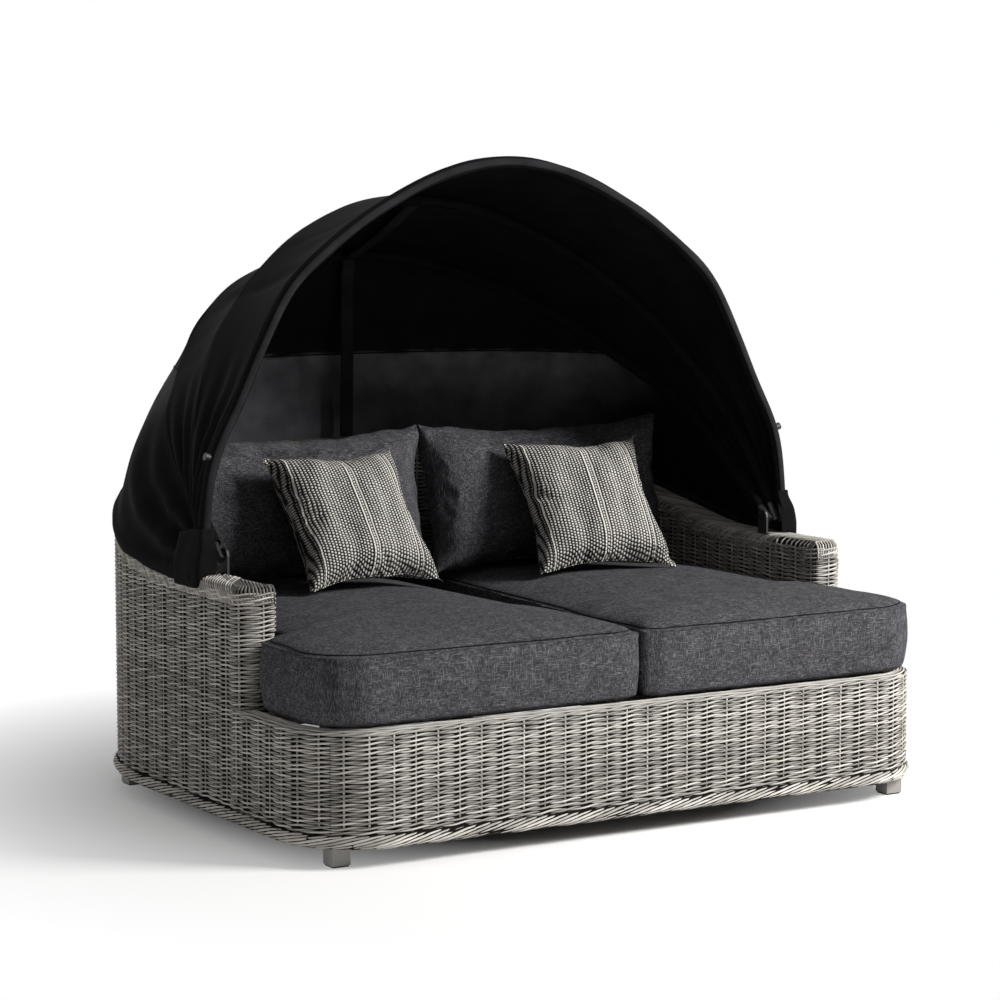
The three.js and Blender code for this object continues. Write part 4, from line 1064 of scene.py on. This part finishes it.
def slub_material(name, stops):
    """Slubbed outdoor cloth: it gives the eye light threads of uneven thickness on a dark ground."""
    material, tree, shader = new_material(name, 0.95, colour=stops[1][1], ior=1.18)
    place = add_node(tree, "TexCoord").outputs["Object"]
    facing = add_node(tree, "Attribute", {"attribute_name": "Facing"}).outputs["Vector"]
    facing = add_node(tree, "SeparateXYZ", Vector=facing)
    lightest = None
    for axis in range(3):
        scale = [1 / SLUB_WIDTH] * 3
        scale[axis] = 1 / SLUB_LENGTH
        stretch = add_node(tree, "Mapping", inputs={"Scale": scale, "Location": (axis, axis, axis)},
                           Vector=place)
        noise = add_node(tree, "TexNoise", inputs={"Scale": 1.0, "Detail": 2.0, "Roughness": 0.6},
                         Vector=stretch)
        noise = add_node(tree, "Math", {"operation": "MULTIPLY"}, first=noise, second=facing.outputs[axis])
        if lightest:
            noise = add_node(tree, "Math", {"operation": "MAXIMUM"}, first=noise, second=lightest)
        lightest = noise
    patchy = add_node(tree, "TexNoise", inputs={"Scale": PATCH_SCALE, "Detail": 3.0}, Vector=place)
    level = add_node(tree, "Math", {"operation": "MULTIPLY_ADD"}, {1: 0.14}, first=patchy, third=lightest)
    link(tree, ramp(tree, level, stops), shader.inputs["Base Color"])
    bump(tree, shader, lightest, 0.7, 0.0014)
    return material


def mark_facing(piece):
    """Keeps for each axis whether threads along it lie in the cloth here, or would stand on end."""
    straight = np.abs(directions(piece.data))
    keep_vectors(piece, "Facing", 1 - np.clip((straight - 0.62) / 0.2, 0, 1))


SLUB_STOPS = (0.50, 0.60, 0.70, 0.82)
charcoal = slub_material("charcoal_slub_cloth",
                         [*zip(SLUB_STOPS, ("#2a292c", "#3a393c", "#565558", "#737275"))])
# A darker copy of the cloth for the top seam cord: painted shadow along the seam line.
seam_shadow_cloth = slub_material("charcoal_cloth_seam_edge",
                            [*zip(SLUB_STOPS, ("#121213", "#18181a", "#202022", "#2c2c2e"))])
print("cloths", charcoal.name, seam_shadow_cloth.name)

# %% [markdown]
# A seat cushion is a firm block with a sewn edge round its top. The foam fills its edges,
# and the two covers meet along the middle, because each leans on the other.

# %% Seat cushions
SEAT_SEAM = 0.508
SEAT_VOXEL = 0.014
BESIDE_ARMS = -0.38
SEAT_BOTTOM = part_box("right_seat_cushion")[0].z
SEAT_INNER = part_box("right_seat_cushion")[0].x


def mirror_piece(piece, name):
    """The same cushion for the other side, with a mesh of its own."""
    mesh = piece.data.copy()
    points = places(mesh)
    points[:, 0] *= -1
    move_to(mesh, points)
    mesh.flip_normals()
    return in_scene(name, mesh)


def close_up(piece, reach, row=0.02, end=0.06):
    """Brings the inner side up to the middle all the way along, where the other cushion leans on it."""
    points = places(piece.data)
    along = points[:, 1] - points[:, 1].min()
    rows = (along / row).astype(int)
    nearest = np.full(rows.max() + 1, 1.0)
    np.minimum.at(nearest, rows, points[:, 0])
    slack = np.interp(along, (np.arange(len(nearest)) + 0.5) * row, nearest) - SEAT_INNER - 0.001
    slack = np.clip(slack, 0, 0.030) * np.clip(np.minimum(along, along.max() - along) / end, 0, 1)
    points[:, 0] -= slack * (1 - eased(points[:, 0], SEAT_INNER, SEAT_INNER + reach))
    move_to(piece.data, points)


def seat_cover():
    """The right seat cushion, from its plain solid to the sewn edge."""
    piece = own_copy("right_seat_cushion", "right_seat_cover")
    remesh(piece, SEAT_VOXEL)
    push_out(piece, distance=-0.004)
    swell(piece, cap=0.010, pressure=2.0)
    fill_room(piece, "right_seat_cushion", np.eye(3))
    close_up(piece, reach=0.25)
    square_edges(piece, size=0.007)
    upward = directions(piece.data)[:, 2]
    free = np.clip(upward * 1.4 + 0.6, 0, 1) * (upward > -0.5)
    push_out(piece, ripple(places(piece.data), size=0.0022, length=0.31, number=3) * free)
    hold_in(piece, "right_seat_cushion", lambda p, n: (p[:, 1] > BESIDE_ARMS) | (n[:, 2] < -0.3))
    apply_modifier(piece, "SUBSURF", levels=1)
    ridge(piece, SEAT_SEAM, size=0.0050, width=0.014)
    groove(piece, (0, 0, SEAT_SEAM), (0, 0, 1), depth=0.0040, width=0.0035)
    points = places(piece.data)
    points[:, 2] = np.maximum(points[:, 2], SEAT_BOTTOM)
    points[:, 0] = np.maximum(points[:, 0], SEAT_INNER + 0.0004)
    move_to(piece.data, points)
    return piece


def finish_cover(piece, node_name, cloth):
    """Gives a cover its cloth and its thread directions, and hides the plain solid that it stands for."""
    paint(piece, cloth)
    smooth(piece.data)
    mark_facing(piece)
    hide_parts(node_name)


right_seat = seat_cover()
for piece in (right_seat, mirror_piece(right_seat, "left_seat_cover")):
    finish_cover(piece, piece.name.replace("cover", "cushion"), charcoal)
    for seam, height, radius, cloth in (("_top_seam", SEAT_SEAM, 0.0020, seam_shadow_cloth),
                                        ("_low_seam", SEAT_BOTTOM + 0.012, 0.0014, charcoal)):
        seam_cord(piece, piece.name + seam, (0, 0, height), (0, 0, 1), radius, cloth)

# %% [markdown]
# The back cushions and the pillows are sewn from two flat panels with a seam round the
# edge. Their corners stay as flat points while the middle fills out, and the foam gives a
# little where they lean.

# %% Back cushions and pillows
BACK_LEAN = math.radians(12)
PILLOW_LEAN = math.radians(36)
PILLOW_TURN = math.radians(5)


def leaning_axes(lean, turn=0.0):
    """Across, up and forward directions of a leaning cushion."""
    across = np.array([math.cos(turn), math.sin(turn), 0.0])
    up = np.array([-math.sin(turn) * math.sin(lean), math.cos(turn) * math.sin(lean), math.cos(lean)])
    return across, up, np.cross(across, up)


def middle_of(node_name):
    """The middle of a plain solid's box."""
    low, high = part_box(node_name)
    return np.array((low + high) / 2)


def grow(piece, centre, axes, sides, top, ear):
    """Lets a cover out at its inner and outer side and its top, and most at its top corners."""
    points = places(piece.data)
    across, up, _ = axes
    a, b = (points - centre) @ across, (points - centre) @ up
    a, b = a / np.abs(a).max(), b / np.abs(b).max()
    high = np.clip(b, 0, 1)
    corner = (np.abs(a) * high) ** 4 * ear
    wider = np.where(a > 0, sides[1], sides[0]) * np.abs(a) + corner
    points += (np.sign(a) * wider)[:, None] * across + (top * high + corner)[:, None] * up
    move_to(piece.data, points)


def sewn_cover(node_name, name, voxel, depth, cap, hollows, axes, let_out=None):
    """A cover of two panels, with a groove where they meet round the edge."""
    piece = own_copy(node_name, name)
    remesh(piece, voxel)
    push_out(piece, -depth)
    swell(piece, cap, 3.0)
    fill_room(piece, node_name, axes)
    across, up, ahead = axes
    centre = middle_of(node_name)
    if let_out:
        grow(piece, centre, axes, **let_out)
    points = places(piece.data)
    a, b = np.abs((points - centre) @ across), np.abs((points - centre) @ up)
    edge = np.clip(np.maximum(a, b) / a.max(), 0, 1)
    push_out(piece, ripple(points, hollows, length=0.17, number=len(name)) * (0.5 + edge))
    hold_in(piece, node_name,
            lambda p, n: ((n @ ahead > 0.1) & (np.abs(n @ across) < 0.5)) | (n @ up < -0.1))
    apply_modifier(piece, "SUBSURF", levels=1)
    groove(piece, centre, ahead, depth=0.0016, width=0.004)
    return piece


COLUMN_PITCH = 0.0092
KNOT_PITCH = 0.0078
STRIPES = (-0.160, -0.006, 0.010, 0.130, 0.146)  # how far across from the pillow's middle


def pillow_material():
    """Knotted weave: it gives the eye columns of light knots on black, with a few cream stripes."""
    material, tree, shader = new_material("chunky_black_and_cream_weave", 0.95, colour="#6f6d69", ior=1.2)
    place = add_node(tree, "Attribute", {"attribute_name": "Weave"}).outputs["Vector"]
    bent = add_node(tree, "TexNoise", inputs={"Scale": 24.0, "Detail": 2.0}, Vector=place).outputs["Fac"]
    parts = add_node(tree, "SeparateXYZ", Vector=place)

    def maths(operation, first, second, third=None):
        """One sum; a plain number is set on the node and anything else is linked."""
        node = add_node(tree, "Math", {"operation": operation})
        for socket, value in zip(node.inputs, (first, second, third)):
            if isinstance(value, (int, float)):
                socket.default_value = value
            elif value is not None:
                tree.links.new(value, socket)
        return node.outputs[0]

    across = maths("MULTIPLY_ADD", bent, 0.006, parts.outputs[0])
    column = maths("DIVIDE", across, COLUMN_PITCH)
    shift = maths("MULTIPLY", maths("FLOOR", column, 0), 0.41)
    row = maths("ADD", maths("DIVIDE", parts.outputs[1], KNOT_PITCH), shift)
    row = maths("MULTIPLY_ADD", bent, 1.4, row)
    hump_across = maths("SINE", maths("MULTIPLY", maths("FRACT", column, 0), math.pi), 0)
    hump_up = maths("SINE", maths("MULTIPLY", maths("FRACT", row, 0), math.pi), 0)
    knots = maths("MULTIPLY", hump_across, hump_up)
    fine = add_node(tree, "TexNoise", inputs={"Scale": 330.0, "Detail": 2.0}, Vector=place)
    long = add_node(tree, "Mapping", inputs={"Scale": (26.0, 5.0, 5.0)}, Vector=place)
    bands = add_node(tree, "TexNoise", inputs={"Scale": 1.0, "Detail": 2.0}, Vector=long)
    level = maths("MULTIPLY_ADD", fine.outputs["Fac"], 0.45, knots)
    level = maths("MULTIPLY_ADD", bands.outputs["Fac"], 0.7, level)
    ground = ramp(tree, maths("MULTIPLY", level, 0.5),
                  [(0.34, "#131314"), (0.44, "#343333"), (0.56, "#8f8d88"), (0.72, "#d0ccc3")])
    near = None
    for centre in STRIPES:
        gap = maths("ABSOLUTE", maths("SUBTRACT", across, centre + 0.003), 0)
        near = gap if near is None else maths("MINIMUM", gap, near)
    cream = ramp(tree, maths("MULTIPLY", near, 100), [(0.0, "#d5d1c8"), (0.2, "#c2beb5"), (0.26, "#161617"),
                                                       (0.44, "#161617"), (0.5, "#808080")])
    mix = add_node(tree, "Mix", {"data_type": "RGBA"}, Factor=maths("LESS_THAN", near, 0.0047))
    link(tree, ground, mix.inputs[6])
    link(tree, cream, mix.inputs[7])
    link(tree, mix.outputs[2], shader.inputs["Base Color"])
    bump(tree, shader, knots, 1.0, 0.0022)
    return material


def lay_weave(piece, node_name, axes):
    """Keeps each place on the pillow in the pillow's own axes, for its pattern."""
    keep_vectors(piece, "Weave", (places(piece.data) - middle_of(node_name)) @ np.array(axes).T)


def add_back_cushions():
    axes = leaning_axes(BACK_LEAN)
    right = sewn_cover("right_back_cushion", "right_back_cover", voxel=0.011, depth=0.006, cap=0.022,
                       hollows=0.0045, axes=axes,
                       let_out={"sides": (0.0, 0.007), "top": 0.014, "ear": 0.002})
    for piece in (right, mirror_piece(right, "left_back_cover")):
        node = piece.name.replace("cover", "cushion")
        finish_cover(piece, node, charcoal)
        seam_cord(piece, piece.name + "_edge_seam", middle_of(node), axes[2], 0.0017, charcoal)


def add_pillows():
    cloth = pillow_material()
    for side, turn in (("left", PILLOW_TURN), ("right", -PILLOW_TURN)):
        axes = leaning_axes(PILLOW_LEAN, turn)
        node = side + "_throw_pillow"
        piece = sewn_cover(node, side + "_pillow_cover", voxel=0.007, depth=0.004, cap=0.014,
                           hollows=0.0025, axes=axes)
        finish_cover(piece, node, cloth)
        seam = seam_cord(piece, piece.name + "_edge_seam", middle_of(node), axes[2], 0.0022,
                         cloth)
        for part in (piece, seam):
            lay_weave(part, node, axes)


add_back_cushions()
add_pillows()
print("back cushions and pillows sewn")

# %% [markdown]
# The canopy is one curved cloth in three stretches. It runs over three hoops that stand
# on one pivot line, so every stretch is a fan: narrow at the arms and wide over the top.
# Between two hoops the cloth sinks a little, and near the arms it gathers in folds that
# run towards the pivot. Over each hoop it is held in a sewn pocket.

# %% Hoop lines
PIVOT = np.array([0.0, -0.140, 0.680])
TUBE = 0.011
CLOTH_OFF = TUBE + 0.0045
COLUMNS = 120
CLOTH_START = 0.040
# Each hoop's curve from foot to top: half width and height as shares of the hoop's own.
FRONT_SHARES = [(1, 0), (0.965, 0.234), (0.878, 0.4), (0.81, 0.53), (0.718, 0.676),
                (0.6, 0.775), (0.428, 0.879), (0.2, 0.972), (0, 1)]
MIDDLE_SHARES = [(1, 0), (0.985, 0.18), (0.95, 0.3), (0.92, 0.38), (0.86, 0.49), (0.8, 0.585),
                 (0.69, 0.7), (0.585, 0.786), (0.45, 0.878), (0.225, 0.97), (0, 1)]
REAR_SHARES = [(1, 0), (0.988, 0.17), (0.98, 0.3), (0.962, 0.38), (0.925, 0.455), (0.868, 0.53),
               (0.793, 0.62), (0.713, 0.712), (0.62, 0.79), (0.509, 0.868), (0.377, 0.93),
               (0.22, 0.978), (0, 1)]


def curve_through(points, per_span=24):
    """A smooth curve through places, eased by the root of their spacing."""
    points = np.vstack([2 * points[0] - points[1], points, 2 * points[-1] - points[-2]])
    line = []
    for a, b, c, d in zip(points, points[1:], points[2:], points[3:]):
        t0, t1 = 0.0, np.linalg.norm(b - a) ** 0.5
        t2 = t1 + np.linalg.norm(c - b) ** 0.5
        t3 = t2 + np.linalg.norm(d - c) ** 0.5
        t = np.linspace(t1, t2, per_span, endpoint=False)[:, None]
        ab = ((t1 - t) * a + (t - t0) * b) / (t1 - t0)
        bc = ((t2 - t) * b + (t - t1) * c) / (t2 - t1)
        cd = ((t3 - t) * c + (t - t2) * d) / (t3 - t2)
        abc = ((t2 - t) * ab + (t - t0) * bc) / (t2 - t0)
        bcd = ((t3 - t) * bc + (t - t1) * cd) / (t3 - t1)
        line.append(((t2 - t) * abc + (t - t1) * bcd) / (t2 - t1))
    return np.vstack([*line, points[-2:-1]])


class Hoop:
    """A hoop's centre line from its right foot to its left one, and the ways across it."""

    def __init__(self, half_width, height, lean_degrees, shares):
        right = np.array([(x * half_width, z * height) for x, z in shares])
        both = np.vstack([right, right[-2::-1] * (-1, 1)])
        fine = curve_through(both)
        run = run_along(fine)
        s = np.linspace(CLOTH_START, run[-1] - CLOTH_START, COLUMNS + 1)
        flat = np.stack([np.interp(s, run, fine[:, k]) for k in range(2)], 1)
        ahead = unit(np.gradient(flat, axis=0))
        lean = math.radians(lean_degrees)
        self.rise = np.array([0, math.sin(lean), math.cos(lean)])
        self.back = np.array([0, math.cos(lean), -math.sin(lean)])
        self.length = s[-1] - s[0]
        self.line = self.lift(flat) + PIVOT
        self.out = self.lift(np.stack([ahead[:, 1], -ahead[:, 0]], 1))
        self.height = flat[:, 1]

    def lift(self, flat):
        """Places or ways in the hoop's own plane, as they lie in the room."""
        return flat[:, :1] * np.array([1.0, 0, 0]) + flat[:, 1:] * self.rise

    def round(self, degrees, reach=CLOTH_OFF):
        """Places round the tube: 0 is outermost, positive is towards the back."""
        angle = np.radians(degrees)
        return self.line + (self.out * math.cos(angle) + self.back * math.sin(angle)) * reach


MIDDLE_LEAN = 30.5
REAR_LEAN = 51
front_hoop = Hoop(half_width=0.895, height=0.981, lean_degrees=0, shares=FRONT_SHARES)
middle_hoop = Hoop(half_width=0.871, height=1.018, lean_degrees=MIDDLE_LEAN, shares=MIDDLE_SHARES)
rear_hoop = Hoop(half_width=0.847, height=1.140, lean_degrees=REAR_LEAN, shares=REAR_SHARES)
print("hoop lengths", [round(hoop.length, 3) for hoop in (front_hoop, middle_hoop, rear_hoop)])

# %% [markdown]
# A stretch of cloth is a grid: columns follow the hoops from arm to arm and rows go from
# one hoop to the next. Its depth between the hoops comes from three things: a sag over the
# roof, long folds that fade at the hoops, and a fine rumple. The grid gets its thickness last.

# %% Cloth tools
CLOTH_THICK = 0.0014
CLOTH_GAP = 0.0115
FOLD_COUNT = 22
FOLD_LEAN = 0.05
UNDER_CANOPY = np.array([0.0, 0.1, 0.7])  # a place under the canopy, which its cloth faces away from
CLEAR_FROM = 0.022  # cloth is pushed clear of the wall from so far above the wall's top edge
CLEAR_OVER = 0.014  # and all the way out when it hangs so much lower
CLOUD_SCALE = 14.0  # clouds about 70 mm across
PANEL_PALER = 17.0
PANEL_FROM = 0.64
PANEL_TO = 0.80
AROUND = np.linspace(0, 1, COLUMNS + 1)


def bell(share, power=1.0):
    """Nought at both ends and one in the middle."""
    return np.sin(math.pi * np.clip(share, 0, 1)) ** power


def fold_field(around, across, count, number, lean=0.0):
    """Folds that run from hoop to hoop, uneven in size and place."""
    dice = np.random.default_rng(number)
    total = np.zeros(np.broadcast(around, across).shape)
    for k in range(count):
        middle = dice.uniform(0.02, 0.98)
        width = dice.uniform(0.006, 0.020)
        depth = dice.uniform(-1.0, 0.7)
        slope = lean * dice.uniform(-1, 1)
        total += depth * np.exp(-((around - middle - slope * (across - 0.5)) / width) ** 2)
    return total


def cloth_between(name, start, end, rows, sag, folds, number, bulge=None):
    """A stretch of cloth from one line of places to another."""
    across = np.linspace(0, 1, rows + 1)[:, None]
    around = AROUND[None, :]
    span = np.linalg.norm(end - start, axis=1)
    widest = span.max()
    flat = start[None] + (end - start)[None] * across[:, :, None]
    along_hoop = np.gradient(flat, axis=1)
    along_span = (end - start)[None] + 0 * flat
    normal = np.cross(along_span, along_hoop)
    normal /= np.linalg.norm(normal, axis=2)[:, :, None] + 1e-9
    normal *= np.sign(((flat - UNDER_CANOPY) * normal).sum(axis=2))[:, :, None]
    depth = -sag * bell(across) * (span / widest)[None, :]
    depth = depth + folds * bell(across, 0.8) * (fold_field(around, across, FOLD_COUNT, number, FOLD_LEAN))
    side = np.abs(around - 0.5) * 2
    gather = np.clip((side - 0.62) / 0.3, 0, 1)
    ribs = np.sin(across * math.pi * 5 + 2.2 * np.sin(around * 19 + number)) * bell(across, 0.7)
    depth = depth + folds * 1.5 * gather * ribs
    if bulge is not None:
        depth = depth + bulge(around, across)
    return sheet_object(name, clear_wall(flat + normal * depth[:, :, None]))


def clear_wall(grid):
    """Moves cloth that hangs below the top of the wall out past the wall's outer face."""
    x, y, z = grid[:, :, 0], grid[:, :, 1], grid[:, :, 2]
    over_x, over_y = np.maximum(np.abs(x) - REAR_X, 0), np.maximum(y - REAR_Y, 0)
    reach = np.hypot(over_x, over_y) + 1e-9
    turned = np.where(y > REAR_Y, REAR_RADIUS * np.arctan2(over_y, over_x + 1e-9), 0)
    rise = np.minimum(y, REAR_Y) + turned + np.maximum(REAR_X - np.abs(x), 0) * (y > REAR_Y)
    low = np.clip((risen(rise) + CLEAR_FROM - z) / CLEAR_OVER, 0, 1)
    push = np.maximum(low * CLOTH_GAP - (reach - REAR_RADIUS), 0) * (low > 0)
    return grid + np.stack([np.sign(x) * over_x / reach * push, over_y / reach * push, np.zeros_like(z)], 2)


def sheet_object(name, grid, thick=CLOTH_THICK):
    """A grid of places made into cloth with a thickness."""
    rows, columns = grid.shape[:2]
    i, j = np.meshgrid(np.arange(rows - 1), np.arange(columns - 1), indexing="ij")
    a = (i * columns + j).ravel()
    piece = mesh_object(name, grid.reshape(-1, 3), np.stack([a, a + 1, a + columns + 1, a + columns], 1))
    weld(piece, 0.0001)
    apply_modifier(piece, "SOLIDIFY", thickness=thick, offset=0.0)
    smooth(piece.data)
    return piece


def canopy_material(name, colour, light):
    """Tight outdoor cloth: it gives the eye a dull black, slightly clouded, and paler where marked."""
    material, tree, shader = new_material(name, 0.9, colour=colour, ior=1.13)
    place = add_node(tree, "TexCoord").outputs["Object"]
    cloudy = add_node(tree, "TexNoise", inputs={"Scale": CLOUD_SCALE, "Detail": 4.0}, Vector=place)
    panel = add_node(tree, "Attribute", {"attribute_name": "Panel"}).outputs["Fac"]
    paler = add_node(tree, "Math", {"operation": "MULTIPLY_ADD"}, {1: PANEL_PALER, 2: 1.0},
                     first=panel)
    toned = add_node(tree, "VectorMath", {"operation": "SCALE"}, Scale=paler,
                     Vector=ramp(tree, cloudy, [(0.3, colour), (0.75, light)]))
    link(tree, toned, shader.inputs["Base Color"])
    fine = add_node(tree, "TexNoise", inputs={"Scale": FINE_SCALE, "Detail": 2.0}, Vector=place)
    bump(tree, shader, fine, 0.25, 0.0005)
    return material


def mark_panel(piece, seam_height):
    """The cloth below a seam is cut from a paler stretch, which darkens again round the sides."""
    points = places(piece.data)
    below = np.clip((seam_height - points[:, 2]) / 0.004 + 0.5, 0, 1)
    below *= np.clip((PANEL_TO - np.abs(points[:, 0])) / (PANEL_TO - PANEL_FROM), 0, 1)
    layer = piece.data.attributes.new("Panel", "FLOAT", "POINT")
    layer.data.foreach_set("value", below.astype(np.float32))


def hem_line():
    """The lower edge of the cloth back, just outside the rounded top of the wall."""
    pivot_run = SIDE_START + PIVOT[1] - FRONT_Y
    s = np.linspace(pivot_run, LOOP - pivot_run, COLUMNS + 1)
    x, y, _, _ = upper_route.at(s, -0.0100)
    dip = 0.010 + 0.003 * np.sin(s * 21) + 0.002 * np.sin(s * 37 + 1)
    return np.stack([x, y, wall_top(s) - dip], 1)


print("hem", round(run_along(hem_line())[-1], 3), "m long")

# %% [markdown]
# Each stretch is sewn to the hoop before it and to the one behind it. The back stretch hangs
# from the rear hoop over the wall.


HOOP_GRIP = 14
BACK_SEAM = 1.110


def add_cloth(which, lines, shape):
    """A stretch between two lines, in its cloth, in place of the plain panel."""
    start, end = lines
    piece = cloth_between("canopy_" + which + "_cloth", start, end, **shape)
    paint(piece, black_cloth, None)
    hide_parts("canopy_" + which + "_panel")
    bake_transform(piece)
    return piece


def bulge_out(around, across):
    """How far the back stretch stands out from a straight fall: most in the middle of the back."""
    middle = 1 - np.abs(around - 0.5) * 2
    return (0.030 * np.clip(middle * 3, 0, 1) - 0.006) * bell(across, 2.0)


black_cloth = canopy_material("black_canopy_cloth", "#0d0d0e", "#151516")
add_cloth("front", (front_hoop.round(22), middle_hoop.round(-HOOP_GRIP)),
          {"rows": 36, "sag": 0.018, "folds": 0.010, "number": 11})
add_cloth("middle", (middle_hoop.round(HOOP_GRIP), rear_hoop.round(-HOOP_GRIP)),
          {"rows": 28, "sag": 0.018, "folds": 0.010, "number": 23})
back_cloth = add_cloth("back", (rear_hoop.round(HOOP_GRIP), hem_line()),
                       {"rows": 44, "sag": 0.0, "folds": 0.013, "number": 31, "bulge": bulge_out})
mark_panel(back_cloth, BACK_SEAM)
back_seam = seam_cord(back_cloth, "canopy_back_seam", (0, 0, BACK_SEAM), (0, 0, 1), 0.0022,
                      black_cloth, None)
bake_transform(back_seam)

# %% [markdown]
# The smaller pieces of cloth come last: a cover wrapped round each front leg of the canopy
# over its pivot, a pocket round each hoop, a paler binding on the front edge, and the
# webbing strap that holds the hoops apart in the middle.

# %% Covers, pockets and straps
COVER_OUTER = 0.9265
COVER_REST = 0.6385
COVER_HEM = 0.606
COVER_TOP = 0.752
COVER_FRONT = 0.0350  # how far before the pivot the cover runs, and behind it
COVER_BACK = 0.096
COVER_HUG = 0.0187


def cover_grid():
    """Cloth round the right leg of the front hoop, from its inner side over its front to its outer side."""
    round_it = np.linspace(0, 3, 40)[None, :]
    up = np.linspace(0, 1, 26)[:, None]
    outer = eased(round_it, 1.5, 2.0)
    low = COVER_REST + (COVER_HEM - COVER_REST) * outer
    high = COVER_TOP - 0.016 * eased(round_it, 2.2, 3.0) - 0.012 * eased(-round_it, -1.0, 0.0)
    z = low + (high - low) * up
    half = COLUMNS // 2 + 1
    leg = np.interp(z - PIVOT[2], front_hoop.height[:half], front_hoop.line[:half, 0])
    clear, outer_share = eased(z, 0.700, 0.745), eased(z, 0.655, 0.745)
    x_in = leg - COVER_HUG
    x_out = COVER_OUTER + (leg + COVER_HUG - COVER_OUTER) * outer_share
    y_front = PIVOT[1] - COVER_FRONT + (COVER_FRONT - COVER_HUG) * clear
    y_in = y_front + 0.001 + 0.030 * clear
    y_out = PIVOT[1] + COVER_BACK + 0.004 * up
    corners = np.clip(round_it, 0, 1), np.clip(round_it - 1, 0, 1), np.clip(round_it - 2, 0, 1)
    x = x_in + (x_out - x_in) * corners[1]
    y = y_in + (y_front - y_in) * corners[0] + (y_out - y_front) * corners[2]
    fold = 0.0012 * np.sin(round_it * 13 + up * 3) * np.sin(math.pi * up)
    grid = np.stack([x + fold * (round_it > 2), y - np.abs(fold), z], 2)
    for _ in range(3):
        grid[:, 1:-1] = grid[:, 1:-1] / 2 + (grid[:, :-2] + grid[:, 2:]) / 4
    return grid


def add_pivot_covers():
    for name, side in (("left", -1), ("right", 1)):
        grid = cover_grid() * (side, 1, 1)
        piece = paint(sheet_object(name + "_pivot_cover", grid), black_cloth)


def pocket(hoop, name, first, last, off, rows, cloth, body, wave=0.0012):
    """Cloth sewn round a hoop's tube, from one angle to another."""
    lines = []
    for degrees in np.linspace(first, last, rows + 1):
        swing = CLOTH_OFF + off + wave * np.sin(AROUND * 61 + degrees / 23) * np.sin(AROUND * 23 + 1)
        lines.append(hoop.round(degrees, swing[:, None]))
    piece = paint(sheet_object(name, np.array(lines), 0.0013), cloth, body)
    return piece


def add_pockets():
    pocket(front_hoop, "front_hoop_pocket", 62, -176, -0.0004, 16, black_cloth, "front_hoop_body")
    for hoop, name in ((middle_hoop, "middle_hoop"), (rear_hoop, "rear_hoop")):
        pocket(hoop, name + "_pocket", 178, -178, 0.0004, 22, black_cloth, name + "_body")
    binding = canopy_material("grey_edge_binding", "#1c1c1d", "#29292b")
    edge = pocket(front_hoop, "front_edge_binding", -52, -118, 0.0012, 6, binding,
                  "front_hoop_body", 0.0003)
    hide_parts("canopy_front_binding")


STRAP_WIDTH = 0.040


def add_strap(which, path):
    """Webbing laid along a line in the middle plane, with a slight lip at its edges."""
    across = np.linspace(-0.5, 0.5, 5)
    grid = np.zeros((len(path), len(across), 3))
    grid[:, :, 0] = across[None, :] * STRAP_WIDTH
    grid[:, :, 1:] = path[:, None, :]
    grid[:, :, 2] += (np.abs(across)[None, :] > 0.4) * 0.0004
    piece = paint(sheet_object("centre_strap_" + which, grid, 0.0016), webbing, None)
    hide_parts("canopy_" + which + "_strap")
    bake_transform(piece)


def strap_path(points, sag, steps_each=14):
    """A smooth line through places behind each other, let down a little between its ends."""
    line = curve_through(np.array(points), steps_each)
    line[:, 1] -= sag * bell(np.linspace(0, 1, len(line)))
    return line


def under_hoop(hoop):
    """The place in the middle of a hoop's inner side where a strap is sewn on."""
    return (hoop.line[COLUMNS // 2] - hoop.out[COLUMNS // 2] * (CLOTH_OFF + 0.0035))[1:]


def add_straps():
    top, back = under_hoop(middle_hoop), under_hoop(rear_hoop)
    add_strap("upper", strap_path([top, (top + back) / 2, back], 0.008))
    foot = np.array([HALF_DEPTH - WALL / 2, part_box("canopy_lower_strap")[0].z + 0.01])
    bend = back + (0.012, -0.05)
    add_strap("lower", strap_path([back, bend, (bend + foot) / 2, foot], 0.0))


webbing = canopy_material("dark_webbing", "#19191b", "#242427")
add_pivot_covers()
add_pockets()
add_straps()
print("canopy sewn")

# %% [markdown]
# Last, the script says that the dressing is done.

print("dressing done")
